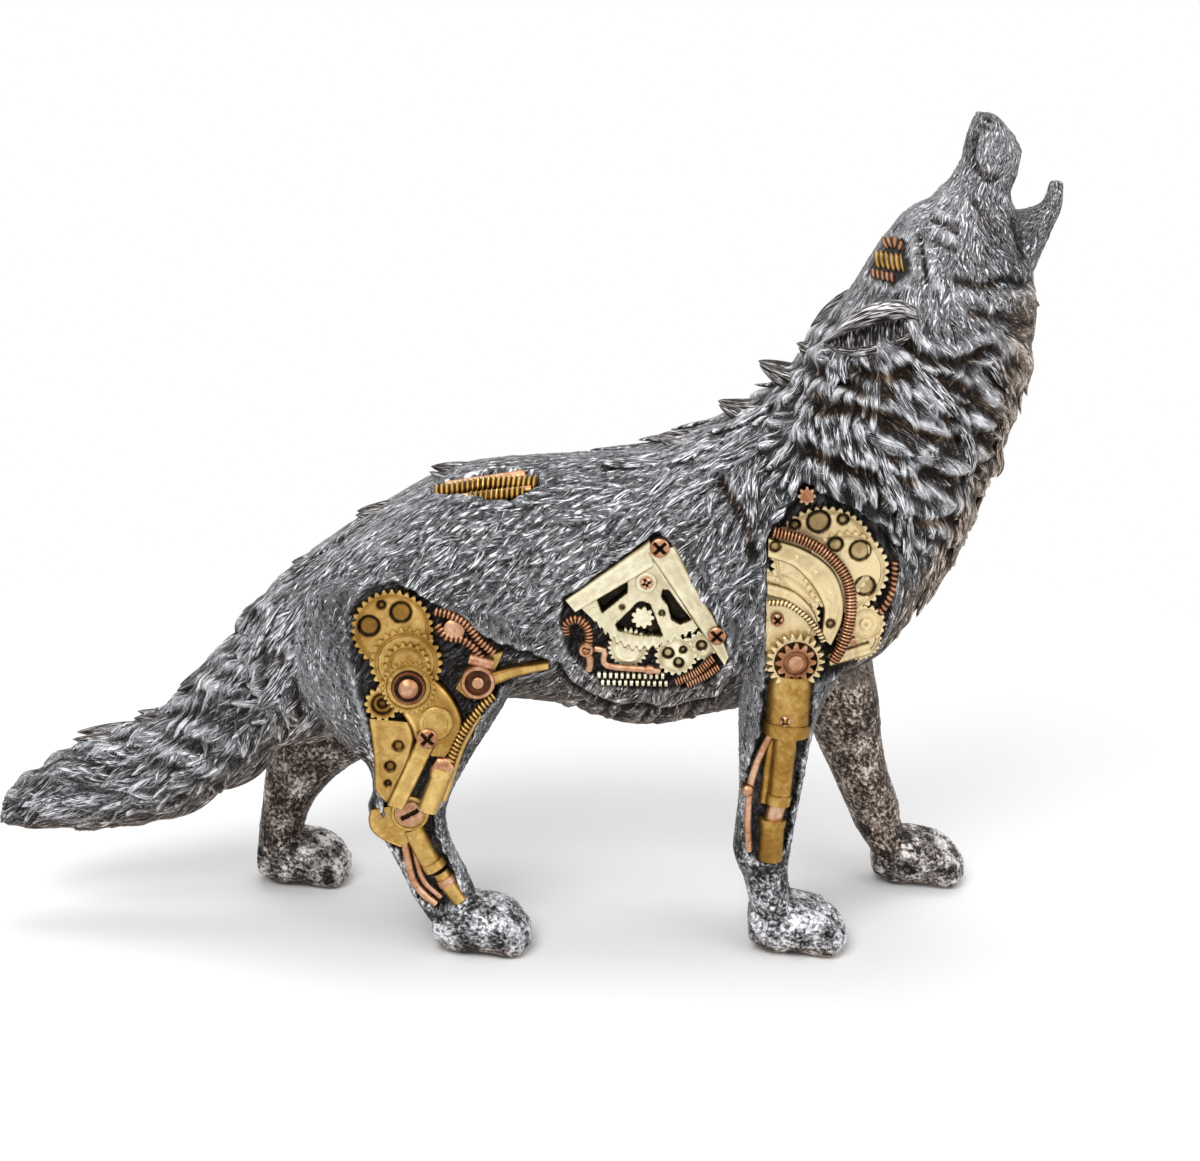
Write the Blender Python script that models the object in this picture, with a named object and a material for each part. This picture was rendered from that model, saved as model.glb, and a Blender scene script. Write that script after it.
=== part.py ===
"""A howling steampunk wolf, cast in one piece. Near side is -Y, the head is toward +X, the soles stand on Z = 0.

The body is a set of closed lofts (trunk with neck and head, lower jaw, tail, legs, paws, ears, fur locks)
melted into one skin. Windows are cut in the near side and filled with raised gears, plates and rods.
"""

import math

import bmesh
import bpy
import numpy as np
from mathutils import Vector
from mathutils.bvhtree import BVHTree

MM = 0.001

# The whole casting
WHOLE_LENGTH = 311.5 * MM
WHOLE_HEIGHT = 243.5 * MM

# Sizes of the skin
SKIN_CELL = 1.7 * MM
SKIN_TRIANGLES = 4650
SKIN_SMOOTH_ROUNDS = 3
SECTION_SIDES = 28
SECTION_SQUARENESS = 2.35

# Windows in the hide: depth of the floor under the mean level of the hide over the window
WINDOW_DEPTH = 4.2 * MM
SHALLOW_DEPTH = 3.0 * MM
CUTTER_REACH = 24.0 * MM
ROOT = -6.5

# Gear teeth: share of a tooth's pitch that its tip takes
TOOTH_TIP_SHARE = 0.42

# Height of the soles on the measured outline; the whole casting is lowered by it at the end
SOLE_LEVEL = 3.2 * MM

# Where the legs stand, measured from the middle plane
LEG_OFFSET = 24.0 * MM
LEG_SPLAY = 1.5 * MM

# Trunk, neck and head: (back line x, z), (belly or throat line x, z), half width, all in mm
TRUNK = [
    ((-80, 96), (-77, 62), 13),
    ((-72, 107), (-66, 62), 25),
    ((-58, 118.5), (-54, 64), 31.5),
    ((-37, 132.5), (-34, 68), 34),
    ((-15, 143.5), (-12, 75), 33.5),
    ((10, 146.5), (12, 74), 32.5),
    ((32, 148), (37, 67), 33.5),
    ((47, 152), (62, 71.5), 35.5),
    ((59, 156.5), (88, 79), 37.5),
    ((68.5, 161), (106, 91), 38.5),
    ((77, 167), (118.5, 106), 38),
    ((84.5, 176), (127, 121), 36.5),
    ((91.5, 187), (132.5, 138), 34.5),
    ((98, 196.5), (138.5, 152), 32),
    ((102.5, 204.5), (142, 164), 29),
    ((106.5, 211), (145, 178), 26),
    ((110, 215.5), (147, 190), 23),
    ((114.5, 219.5), (147, 200), 19),
    ((119.8, 222.5), (146, 210.5), 15.5),
    ((123.8, 227), (142.5, 221), 11.5),
    ((127, 232.5), (143.4, 229), 9.5),
    ((128.4, 238.5), (144.2, 235.5), 8.8),
    ((129.4, 243.3), (140, 241.4), 7),
    ((130.8, 247), (135.6, 245.8), 4.4),
]
JAW = [
    ((138, 205), (149, 201), 13),
    ((142.2, 211.2), (151.2, 209.3), 10),
    ((146.6, 217.4), (153.6, 216.5), 7.5),
    ((149.9, 222.4), (155.4, 222.6), 5.5),
    ((151.8, 227.4), (155.2, 227.6), 3),
]
TAIL = [
    ((-62, 106), (-58, 66), 19),
    ((-78, 97), (-71, 59), 19),
    ((-89, 86), (-81, 49), 19),
    ((-99, 74), (-91, 43), 18.5),
    ((-111, 66), (-102, 37), 17.5),
    ((-124, 61), (-116, 33.5), 15.5),
    ((-136, 56), (-130, 32), 13),
    ((-147, 48), (-142, 32), 9.5),
    ((-154.5, 41), (-152, 32.5), 5.5),
    ((-156.5, 36), (-155.5, 33), 2.5),
]

# Legs from the body down: (front x, z), (back x, z), half width
NEAR_FORELEG = [
    ((112, 128), (66, 124), 11),
    ((106, 108), (66, 104), 13.5),
    ((95, 90), (66, 88), 12.5),
    ((88, 74), (66, 73), 11.5),
    ((84.5, 54), (66.3, 54), 10.5),
    ((82.5, 42), (65.5, 42), 10.2),
    ((81.5, 34), (65, 34), 10),
    ((81, 26), (68, 26), 8.8),
    ((83, 18), (70, 18), 9),
    ((87, 9), (73, 9), 8.5),
]
FAR_FORELEG = [
    ((112, 128), (72, 124), 11),
    ((109, 104), (76, 104), 13.5),
    ((109, 82), (82, 86), 12.5),
    ((112, 64), (86, 66), 11.5),
    ((113.5, 50), (92.5, 52), 10.5),
    ((116, 39), (98.5, 39), 10.2),
    ((119.3, 30), (102.5, 30), 9.6),
    ((120.3, 23), (106, 22), 8.8),
    ((124, 16), (110.5, 15), 9),
    ((128, 8), (115, 8), 8.5),
]
NEAR_HIND_LEG = [
    ((4, 118), (-58, 112), 7),
    ((8, 106), (-63, 98), 12.5),
    ((4, 92), (-61, 84), 14.5),
    ((-3, 78), (-52, 71), 13.5),
    ((-11, 65), (-42.5, 62), 12),
    ((-17, 54), (-40.5, 54), 10.5),
    ((-19.6, 46), (-42, 47), 9.5),
    ((-18.3, 37.5), (-37.5, 38), 8.8),
    ((-14, 28), (-32.5, 28), 8.4),
    ((-11, 20), (-28.5, 19), 8.4),
    ((-7, 11), (-22, 9), 8.2),
]
FAR_HIND_LEG = [
    ((4, 116), (-58, 112), 7),
    ((6, 104), (-63, 100), 12.5),
    ((0, 88), (-66, 90), 14),
    ((-18, 68), (-72, 74), 13),
    ((-40, 50), (-75, 62), 11.5),
    ((-53, 42), (-77, 50), 9.8),
    ((-61.5, 34), (-79, 39), 9),
    ((-65.8, 27), (-80.3, 29), 8.6),
    ((-68, 19.5), (-81.8, 20), 8.4),
    ((-68, 11), (-82, 11), 8.2),
]

# Shoulder and haunch muscles on each flank: centre x, z and half sizes in x and z, how far out they reach
MUSCLES = [
    ((93, 116), (25, 30), 37.2),
    ((-27, 92), (27, 33), 37.6),
]
MUSCLE_CENTRE = 17.0 * MM

# Forms of the face on each side: centre x, y, z and half sizes: whisker pad, brow, cheek
FACE_FORMS = [
    ((135.2, 3.5, 235.5), (4.6, 7.0, 6.4)),
    ((117.5, 8.0, 220.2), (6.0, 6.5, 3.6)),
    ((121.0, 14.0, 191.0), (10.0, 15.0, 9.5)),
]

# Paws: heel x of each, and one shared shape given along it as (x, low z, high z, half width)
PAW_SHAPE = [
    (0, 3, 14, 6.5),
    (6, -1.5, 17.4, 9.4),
    (14, -2, 17, 10.8),
    (21, -2, 14.4, 11.4),
    (25.5, -1.2, 11, 10.2),
    (28.5, 2.5, 7.5, 5.5),
]
PAW_HEELS = {
    "near fore": 69.5 * MM,
    "far fore": 111.5 * MM,
    "near hind": -24.0 * MM,
    "far hind": -82.5 * MM,
}
TOE_SPREAD = (-8.4, -2.9, 2.9, 8.4)
TOE_RADIUS = 4.1 * MM
TOE_REACH = 24.5 * MM

# Windows: corner points of the outline, x and z seen from the near side, in mm
SHOULDER_WINDOW = [
    (82, 148.5), (95, 141.5), (105.9, 135.4), (109.3, 125.6), (108, 109.4), (104, 98),
    (95, 92), (84, 89), (72.6, 91), (72.2, 112), (72.1, 133), (76.7, 139),
]
FORELEG_WINDOW = [
    (72.6, 94), (87, 93), (85.6, 74), (82.4, 56), (79.8, 38), (74, 33.5),
    (69, 36), (67.4, 48), (68, 60), (71.2, 74),
]
HAUNCH_WINDOW = [
    (-34, 121), (-27, 118), (-20, 111.5), (-3, 101), (11, 95), (11, 92.2), (-2.5, 87.5), (-8, 79.5),
    (-13, 70), (-17, 61), (-21, 51), (-37, 51), (-39, 69), (-42.3, 85), (-45.2, 97), (-45.4, 109),
    (-41, 118),
]
HOCK_WINDOW = [
    (-36, 53), (-23, 53), (-22, 42), (-17.5, 31), (-14, 21), (-21.5, 18), (-28, 22), (-31, 33), (-37.5, 42),
]
RIBS_WINDOW = [
    (42, 133), (15.5, 113), (14.2, 107), (16.2, 97), (26.5, 87), (42.5, 85), (56.4, 87.5),
    (61.6, 95.4), (60.8, 104), (52.4, 116), (46.4, 128),
]
HEAD_WINDOW = [(104, 213.5), (110, 212), (111.5, 204), (107.5, 199.5), (99.5, 200.5), (99, 206.5)]
# This one is seen from above: x and y
BACK_WINDOW = [(-24, -10), (-15, -8), (-2, -7.5), (7, -11), (9.5, -17), (1.5, -21.5), (-8.6, -20.5), (-20, -15)]

# Fur locks in rows on both flanks: first and last root (x, z), how many, sweep (x, z), length, width, all in mm
LOCK_ROWS = [
    ((114, 186), (139, 191), 3, (0.80, -0.60), 18, 10),
    ((98, 180), (136, 175), 4, (0.80, -0.60), 21, 11),
    ((86, 170), (132, 160), 5, (0.72, -0.70), 21, 11.5),
    ((74, 160), (124, 146), 5, (0.60, -0.80), 20, 11.5),
    ((110, 140), (122, 130), 2, (0.25, -0.97), 17, 10),
    ((-58, 100), (-50, 84), 2, (-0.45, -0.90), 17, 11),
    ((6, 92), (54, 87), 4, (0.30, -0.95), 15, 12),
    ((-92, 68), (-124, 54), 3, (-0.90, -0.40), 24, 10),
    ((-80, 66), (-108, 46), 3, (-0.80, -0.60), 22, 10),
    ((63, 114), (63, 94), 2, (-0.10, -1.00), 16, 9),
    ((68, 151), (50, 145), 2, (-0.70, -0.70), 19, 12),
    ((36, 142), (-6, 134), 3, (-0.88, -0.47), 20, 12),
    ((18, 127), (-10, 125), 2, (-0.85, -0.52), 18, 11),
    ((-26, 131), (-46, 122), 2, (-0.80, -0.60), 15, 10),
    ((60, 139), (61, 125), 2, (-0.35, -0.94), 16, 10),
    ((-66, 89), (-62, 74), 2, (-0.35, -0.94), 15, 10),
    ((-114, 55), (-134, 48), 2, (-0.90, -0.42), 18, 8),
    ((116, 205), (130, 200), 2, (0.30, -0.95), 12, 8),
]
# Locks on the outline at the middle plane: root (x, z), tip (x, z), width
EDGE_LOCKS = [
    ((95, 176), (82.5, 179.5), 9),
    ((86, 168), (71.5, 174.5), 10),
    ((76, 159), (60, 162.5), 11),
    ((60, 150), (43, 152.5), 11),
    ((-6, 138), (-24, 142.8), 10),
    ((-30, 129), (-46, 129.5), 10),
    ((-50, 117), (-66, 113.5), 10),
    ((-66, 106), (-81, 98.5), 10),
    ((-83, 88), (-101, 75), 10),
    ((-97, 68), (-114, 67), 9),
    ((-112, 60), (-133, 60), 8),
    ((-75, 58), (-88, 43.5), 10),
    ((-90, 48), (-104, 35), 9),
    ((138, 197), (151.3, 191.5), 10),
    ((136, 186), (149.6, 180.5), 10),
    ((134, 173), (146.5, 166), 10),
    ((130, 160), (143.5, 151), 10),
    ((125, 149), (137, 139), 10),
    ((120, 138), (133.5, 128), 10),
    ((112, 122), (123.5, 110), 10),
    ((98, 104), (108.5, 94.5), 9),
]
LOCK_THICKNESS = 4.4 * MM
LOCK_LIFT = 3.0 * MM
EDGE_LOCK_THICKNESS = 7.0 * MM

# Ears: root (x, z), tip (x, z), width
EAR = ((111, 191.5), (88.5, 185.5), 14)
EAR_THICKNESS = 8.0 * MM


def clear_scene():
    for thing in list(bpy.data.objects):
        bpy.data.objects.remove(thing, do_unlink=True)


def smooth_stations(rows, steps):
    """Points between the given stations, on a smooth curve through each of their numbers."""
    rows = np.array(rows, float)
    places = np.arange(len(rows))
    fine = np.linspace(0, len(rows) - 1, (len(rows) - 1) * steps + 1)
    slopes = np.gradient(rows, axis=0)
    out = []
    for at in fine:
        i = min(int(at), len(rows) - 2)
        t = at - places[i]
        a, b, ma, mb = rows[i], rows[i + 1], slopes[i], slopes[i + 1]
        out.append(
            (2 * t**3 - 3 * t**2 + 1) * a
            + (t**3 - 2 * t**2 + t) * ma
            + (3 * t**2 - 2 * t**3) * b
            + (t**3 - t**2) * mb
        )
    return np.array(out)


def mesh_object(name, points, faces):
    mesh = bpy.data.meshes.new(name)
    mesh.from_pydata([tuple(p) for p in points], [], faces)
    mesh.update()
    made = bpy.data.objects.new(name, mesh)
    bpy.context.scene.collection.objects.link(made)
    return made


def ring_faces(rings, sides):
    """Quads between neighbouring rings and one cap at each end, all facing outward."""
    faces = [tuple(range(sides))[::-1]]
    for r in range(rings - 1):
        for s in range(sides):
            a = r * sides + s
            b = r * sides + (s + 1) % sides
            faces.append((a, b, b + sides, a + sides))
    last = (rings - 1) * sides
    faces.append(tuple(range(last, last + sides)))
    return faces


def loft(name, stations, middle_y, lean_y=0.0, steps=2):
    """A closed loft. Each station gives the two outline points of its section and its half width in mm."""
    rows = smooth_stations([(*a, *b, w) for a, b, w in stations], steps) * MM
    angles = np.linspace(0, 2 * math.pi, SECTION_SIDES, endpoint=False)
    power = 2 / SECTION_SQUARENESS
    up = np.sign(np.cos(angles)) * np.abs(np.cos(angles)) ** power
    side = np.sign(np.sin(angles)) * np.abs(np.sin(angles)) ** power
    points = []
    for i, (ax, az, bx, bz, w) in enumerate(rows):
        shift = middle_y + lean_y * i / (len(rows) - 1)
        x = (ax + bx) / 2 + up * (ax - bx) / 2
        z = (az + bz) / 2 + up * (az - bz) / 2
        points += list(zip(x, shift + side * w, z))
    made = mesh_object(name, points, ring_faces(len(rows), SECTION_SIDES))
    face_outward(made)
    return made


def face_outward(thing):
    shape = bmesh.new()
    shape.from_mesh(thing.data)
    bmesh.ops.recalc_face_normals(shape, faces=shape.faces)
    shape.to_mesh(thing.data)
    shape.free()


def ball(name, centre, half_sizes, sides=12, rings=7):
    """A closed egg, as rings of points from the lower pole to the upper one."""
    heights = np.linspace(-0.5 * math.pi + 0.25, 0.5 * math.pi - 0.25, rings)
    points = []
    for h in heights:
        for s in range(sides):
            turn = 2 * math.pi * s / sides
            unit = (math.cos(h) * math.cos(turn), math.cos(h) * math.sin(turn), math.sin(h))
            points.append([c + u * r for c, u, r in zip(centre, unit, half_sizes)])
    made = mesh_object(name, points, ring_faces(rings, sides))
    face_outward(made)
    return made


def paw(name, heel_x, middle_y):
    """The paw with its four toes, with the sole a little under the ground plane for a later flat cut."""
    stations = []
    sole = SOLE_LEVEL / MM
    for x, low, high, half in PAW_SHAPE:
        stations.append(((heel_x / MM + x, high + sole), (heel_x / MM + x, low + sole), half))
    made = [loft(name, stations, middle_y)]
    for i, spread in enumerate(TOE_SPREAD):
        inner = abs(spread) < TOE_RADIUS / MM
        reach = heel_x + TOE_REACH - (0 if inner else 2.4 * MM)
        centre = (reach, middle_y + spread * MM, SOLE_LEVEL + TOE_RADIUS * 1.05)
        size = (TOE_RADIUS * 1.25, TOE_RADIUS * 0.8, TOE_RADIUS * 1.35)
        made.append(ball(f"{name} toe {i}", centre, size))
    return made


def joined(name, pieces):
    """The pieces as one mesh object, and the pieces themselves removed."""
    points, faces = [], []
    for piece in pieces:
        start = len(points)
        points += [piece.matrix_world @ v.co for v in piece.data.vertices]
        faces += [tuple(start + i for i in f.vertices) for f in piece.data.polygons]
        bpy.data.objects.remove(piece, do_unlink=True)
    return mesh_object(name, points, faces)


def apply_modifiers(thing):
    """The object's mesh as its modifiers leave it, with the modifiers gone."""
    graph = bpy.context.evaluated_depsgraph_get()
    fresh = bpy.data.meshes.new_from_object(thing.evaluated_get(graph))
    thing.modifiers.clear()
    thing.data = fresh


def melt(thing, cell, rounds):
    """One skin over overlapping closed pieces, with the steps of the cells smoothed out."""
    cells = thing.modifiers.new("skin", "REMESH")
    cells.mode = "VOXEL"
    cells.voxel_size = cell
    cells.adaptivity = 0.0
    soft = thing.modifiers.new("soft", "SMOOTH")
    soft.factor = 0.5
    soft.iterations = round(rounds)
    apply_modifiers(thing)


def body_pieces():
    near, far = -LEG_OFFSET, LEG_OFFSET
    pieces = [
        loft("trunk", TRUNK, 0.0),
        loft("jaw", JAW, 0.0),
        loft("tail", TAIL, 0.0),
        loft("near foreleg", NEAR_FORELEG, near, -LEG_SPLAY),
        loft("far foreleg", FAR_FORELEG, far, LEG_SPLAY),
        loft("near hind leg", NEAR_HIND_LEG, near, -LEG_SPLAY),
        loft("far hind leg", FAR_HIND_LEG, far, LEG_SPLAY),
    ]
    for (x, z), (long, tall), reach in MUSCLES:
        for side in (-1, 1):
            size = (long * MM, reach * MM - MUSCLE_CENTRE, tall * MM)
            pieces.append(ball(f"muscle {x} {side}", (x * MM, side * MUSCLE_CENTRE, z * MM), size, 24, 13))
    for (x, y, z), size in FACE_FORMS:
        for side in (-1, 1):
            centre = (x * MM, side * y * MM, z * MM)
            pieces.append(ball(f"face form {x} {side}", centre, [s * MM for s in size], 16, 9))
    for name, heel_x in PAW_HEELS.items():
        side = near - LEG_SPLAY if name.startswith("near") else far + LEG_SPLAY
        pieces += paw(f"{name} paw", heel_x, side)
    return pieces


def thin_out(thing, triangles):
    """Fewer, larger triangles, by the share that leaves about the wanted number."""
    quads = len(thing.data.polygons)
    fewer = thing.modifiers.new("fewer", "DECIMATE")
    fewer.ratio = min(1.0, triangles / (2 * quads))
    apply_modifiers(thing)


def tree_of(thing):
    return BVHTree.FromPolygons(
        [v.co.copy() for v in thing.data.vertices], [tuple(f.vertices) for f in thing.data.polygons]
    )


def leaf(name, root, tip, normal, width, thickness, lift):
    """A closed leaf-shaped lock from root to tip, thick along the normal, its tip lifted off the skin."""
    run = tip - root
    across = normal.cross(run).normalized()
    points = []
    for t, spread, rise in ((0, 0.5, -0.7), (0.35, 1.0, 0.1), (0.72, 0.85, 0.7), (1, 0.22, 1.0)):
        middle = root + run * t + normal * (lift * rise)
        for s in range(8):
            turn = 2 * math.pi * s / 8
            wide = across * (math.cos(turn) * spread * width / 2)
            deep = normal * (math.sin(turn) * (0.3 + 0.7 * spread) * thickness / 2)
            points.append(middle + wide + deep)
    made = mesh_object(name, points, ring_faces(4, 8))
    face_outward(made)
    return made


def side_seat(skin, x, z, side):
    """Where the skin lies at x, z on the flank given by side (-1 near, 1 far), and its outward normal."""
    found, normal, _, _ = skin.ray_cast(Vector((x, 0.3 * side, z)), Vector((0, -side, 0)))
    return found, normal


def flank_locks(skin):
    made = []
    for row, (first, last, count, sweep, length, width) in enumerate(LOCK_ROWS):
        for i in range(count):
            share = i / max(count - 1, 1)
            x = (first[0] + (last[0] - first[0]) * share) * MM
            z = (first[1] + (last[1] - first[1]) * share) * MM
            for side in (-1, 1):
                root, normal = side_seat(skin, x, z, side)
                if root is None:
                    continue
                along = Vector((sweep[0], 0, sweep[1]))
                along = (along - normal * along.dot(normal)).normalized()
                tip = root + along * (length * MM)
                under_tip = side_seat(skin, tip.x, tip.z, side)[0]
                tip = under_tip or tip
                name = f"lock {row} {i} {side}"
                made.append(leaf(name, root, tip, normal, width * MM, LOCK_THICKNESS, LOCK_LIFT))
    return made


def edge_locks():
    """Thicker locks along the outline, which stand out edge-on."""
    made = []
    for i, (root, tip, width) in enumerate(EDGE_LOCKS):
        start = Vector((root[0], 0, root[1])) * MM
        end = Vector((tip[0], 0, tip[1])) * MM
        normal = Vector((0, 1, 0)).cross(end - start).normalized()
        made.append(leaf(f"edge lock {i}", start, end, normal, width * MM, EDGE_LOCK_THICKNESS, 0.0))
    return made


def ears(skin):
    made = []
    for side in (-1, 1):
        root, normal = side_seat(skin, EAR[0][0] * MM, EAR[0][1] * MM, side)
        tip = side_seat(skin, EAR[1][0] * MM, EAR[1][1] * MM, side)[0]
        if root is None or tip is None:
            continue
        lift = EAR_THICKNESS * 0.4
        made.append(leaf(f"ear {side}", root, tip, normal, EAR[2] * MM, EAR_THICKNESS, lift))
    return made


class Window:
    """An opening in the hide. Heights in it count outward, in mm, from the mean level of the hide there."""

    def __init__(self, name, skin, outline, depth, from_above=False):
        self.name = name
        self.outline = outline
        self.depth = depth
        self.from_above = from_above
        self.level = self.mean_level(skin)

    def mean_level(self, skin):
        corners = np.array(self.outline, float)
        middle = corners.mean(0)
        rows, heights = [], []
        for share in (0.1, 0.5, 0.9):
            for u, v in middle + (corners - middle) * share:
                if self.from_above:
                    hit = skin.ray_cast(Vector((u * MM, v * MM, 0.4)), Vector((0, 0, -1)))[0]
                    height = hit.z if hit else None
                else:
                    hit = side_seat(skin, u * MM, v * MM, -1)[0]
                    height = -hit.y if hit else None
                if height is not None:
                    rows.append((1, u, v))
                    heights.append(height / MM)
        return np.linalg.lstsq(np.array(rows, float), np.array(heights), rcond=None)[0]

    def point(self, u, v, height):
        level = self.level[0] + self.level[1] * u + self.level[2] * v + height
        place = (u, v, level) if self.from_above else (u, -level, v)
        return Vector(place) * MM

    def prism(self, name, outline, low, high):
        """The outline as a closed plate between two heights."""
        corners = len(outline)
        points = [self.point(u, v, low) for u, v in outline]
        points += [self.point(u, v, high) for u, v in outline]
        made = mesh_object(f"{self.name} {name}", points, ring_faces(2, corners))
        face_outward(made)
        return made

    def cutter(self):
        return self.prism("cut", self.outline, -self.depth / MM, CUTTER_REACH / MM)

    def turned(self, name, u, v, profile, sides=18):
        """A closed turned piece around u, v, from a profile of (radius, height)."""
        points = []
        for radius, height in profile:
            for s in range(sides):
                turn = 2 * math.pi * s / sides
                points.append(self.point(u + radius * math.cos(turn), v + radius * math.sin(turn), height))
        made = mesh_object(f"{self.name} {name}", points, ring_faces(len(profile), sides))
        face_outward(made)
        return made

    def gear(self, name, u, v, tip, teeth, high, depth=1.2, start=0.0, stop=360.0):
        """A toothed disc, or a toothed sector closed to its centre, standing up to the height."""
        pitch = 2 * math.pi / teeth
        outline = []
        count = round(teeth * (stop - start) / 360)
        for i in range(count):
            middle = math.radians(start) + (i + 0.5) * pitch
            for radius, share in (
                (tip - depth, -1.0),
                (tip, -TOOTH_TIP_SHARE),
                (tip, TOOTH_TIP_SHARE),
            ):
                turn = middle + share * pitch / 2
                outline.append((u + radius * math.cos(turn), v + radius * math.sin(turn)))
        if stop - start < 360:
            outline.append((u, v))
        return self.prism(name, outline, ROOT, high)

    def tube(self, name, path, radius, arcs=5, steps=2):
        """A raised round tube along the path of (u, v, height), with straight flanks down into the floor."""
        rows = smooth_stations(path, steps) if len(path) > 2 else np.array(path, float)
        turns = np.linspace(0, math.pi, arcs + 1)
        section = [(radius * math.cos(t), radius * math.sin(t)) for t in turns]
        runs = np.gradient(rows[:, :2], axis=0)
        points = []
        for (u, v, height), run in zip(rows, runs):
            side = np.array([-run[1], run[0]]) / np.linalg.norm(run)
            for offset, rise in section:
                points.append(self.point(u + side[0] * offset, v + side[1] * offset, height + rise))
            for offset in (-radius, radius):
                points.append(self.point(u + side[0] * offset, v + side[1] * offset, ROOT))
        made = mesh_object(f"{self.name} {name}", points, ring_faces(len(rows), arcs + 3))
        face_outward(made)
        return made

    def bar(self, name, start, end, width, high, narrow=None):
        """A straight flat bar between two points."""
        a, b = np.array(start, float), np.array(end, float)
        side = np.array([-(b - a)[1], (b - a)[0]]) / np.linalg.norm(b - a) / 2
        tail = width if narrow is None else narrow
        outline = [a + side * width, b + side * tail, b - side * tail, a - side * width]
        return self.prism(name, outline, ROOT, high)


def shoulder_works(w):
    crescent = [(72.6, 132.8), (83.4, 128.8), (91.1, 122.6), (94.1, 114.4), (93.8, 107.1), (91.1, 100.5)]
    crescent += [(88.4, 103.5), (88.6, 111.8), (85.6, 117.7), (79.8, 124.1), (72.6, 127)]
    inner = [(72.6, 119.4), (80, 116.8), (85.4, 111.4), (87.8, 105.5), (85.6, 104.6), (82.3, 109.8)]
    inner += [(78, 113.6), (72.6, 115.8)]
    coil = [(73.6, 134.8, 0.2), (82.5, 132.3, 0.4), (89.9, 127.3, 0.5), (94.8, 120.6, 0.5)]
    coil += [(96.1, 113.8, 0.4), (95.8, 107.1, 0.3), (94, 100.5, 0.2), (91.8, 96, -0.4)]
    line = [(72.8, 113.8, -0.6), (78.1, 113.3, -0.5), (83, 110, -0.4), (86.8, 105.6, -0.5), (88.8, 102, -0.8)]
    edge = [(108.4, 125, -1.8), (108.2, 117.7, -1.6), (106.3, 112.4, -1.6), (104.6, 109.4, -2.2)]
    return [
        w.gear("great gear", 88.2, 126.4, 14.9, 34, -2.3),
        w.gear("second gear", 94.8, 122.1, 12.2, 30, -1.6),
        w.gear("hidden gear", 72.6, 107.9, 15.4, 36, -2.0, start=-30, stop=90),
        w.prism("crescent plate", crescent, ROOT, -0.7),
        w.prism("inner crescent", inner, ROOT, -1.3),
        w.tube("ribbed pipe", coil, 1.65),
        w.tube("thin pipe", line, 1.0, 4),
        w.tube("edge pipe", edge, 1.1, 4),
        w.gear("idler", 100.9, 106.5, 4.2, 10, -1.1, 1.0),
        w.gear("top pinion", 83, 144.6, 2.3, 8, -1.4, 0.7),
        w.bar("rack", (90.5, 95.6), (102, 99), 3.4, -1.9),
        w.gear("sun gear", 81, 96.1, 8.1, 22, 1.0),
        w.gear("sun hub", 81, 96.1, 5.1, 12, 1.7, 0.9),
        w.turned("sun cap", 81, 96.1, [(2.0, 0), (2.0, 2.3), (1.3, 2.8)], 10),
    ]


def foreleg_works(w):
    strap = [(74.6, 73.5, -1.2), (71.1, 65.8, -0.9), (68.9, 56.8, -0.8), (68.5, 46.9, -0.8), (69, 37, -1.0)]
    return [
        w.tube("cuff", [(80.3, 90.5, -4.0), (79.4, 75, -4.0)], 6.5, 9),
        w.tube("flange", [(79.5, 75.6, -4.0), (79.3, 73.4, -4.0)], 7.1, 9),
        w.tube("upper cylinder", [(79.1, 74, -1.4), (77.3, 52, -1.6)], 3.3, 7),
        w.tube("piston rod", [(77.4, 53, -1.8), (75.5, 45, -1.8)], 2.5, 6),
        w.tube("lower cylinder", [(75.7, 47.2, -1.5), (75.2, 34.8, -1.5)], 3.6, 7),
        w.tube("strap", strap, 1.0, 4),
        w.turned("strap pin", 67.9, 56.2, [(1.5, -3.2), (1.5, 0.2), (0.8, 0.8)], 8),
    ]


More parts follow.
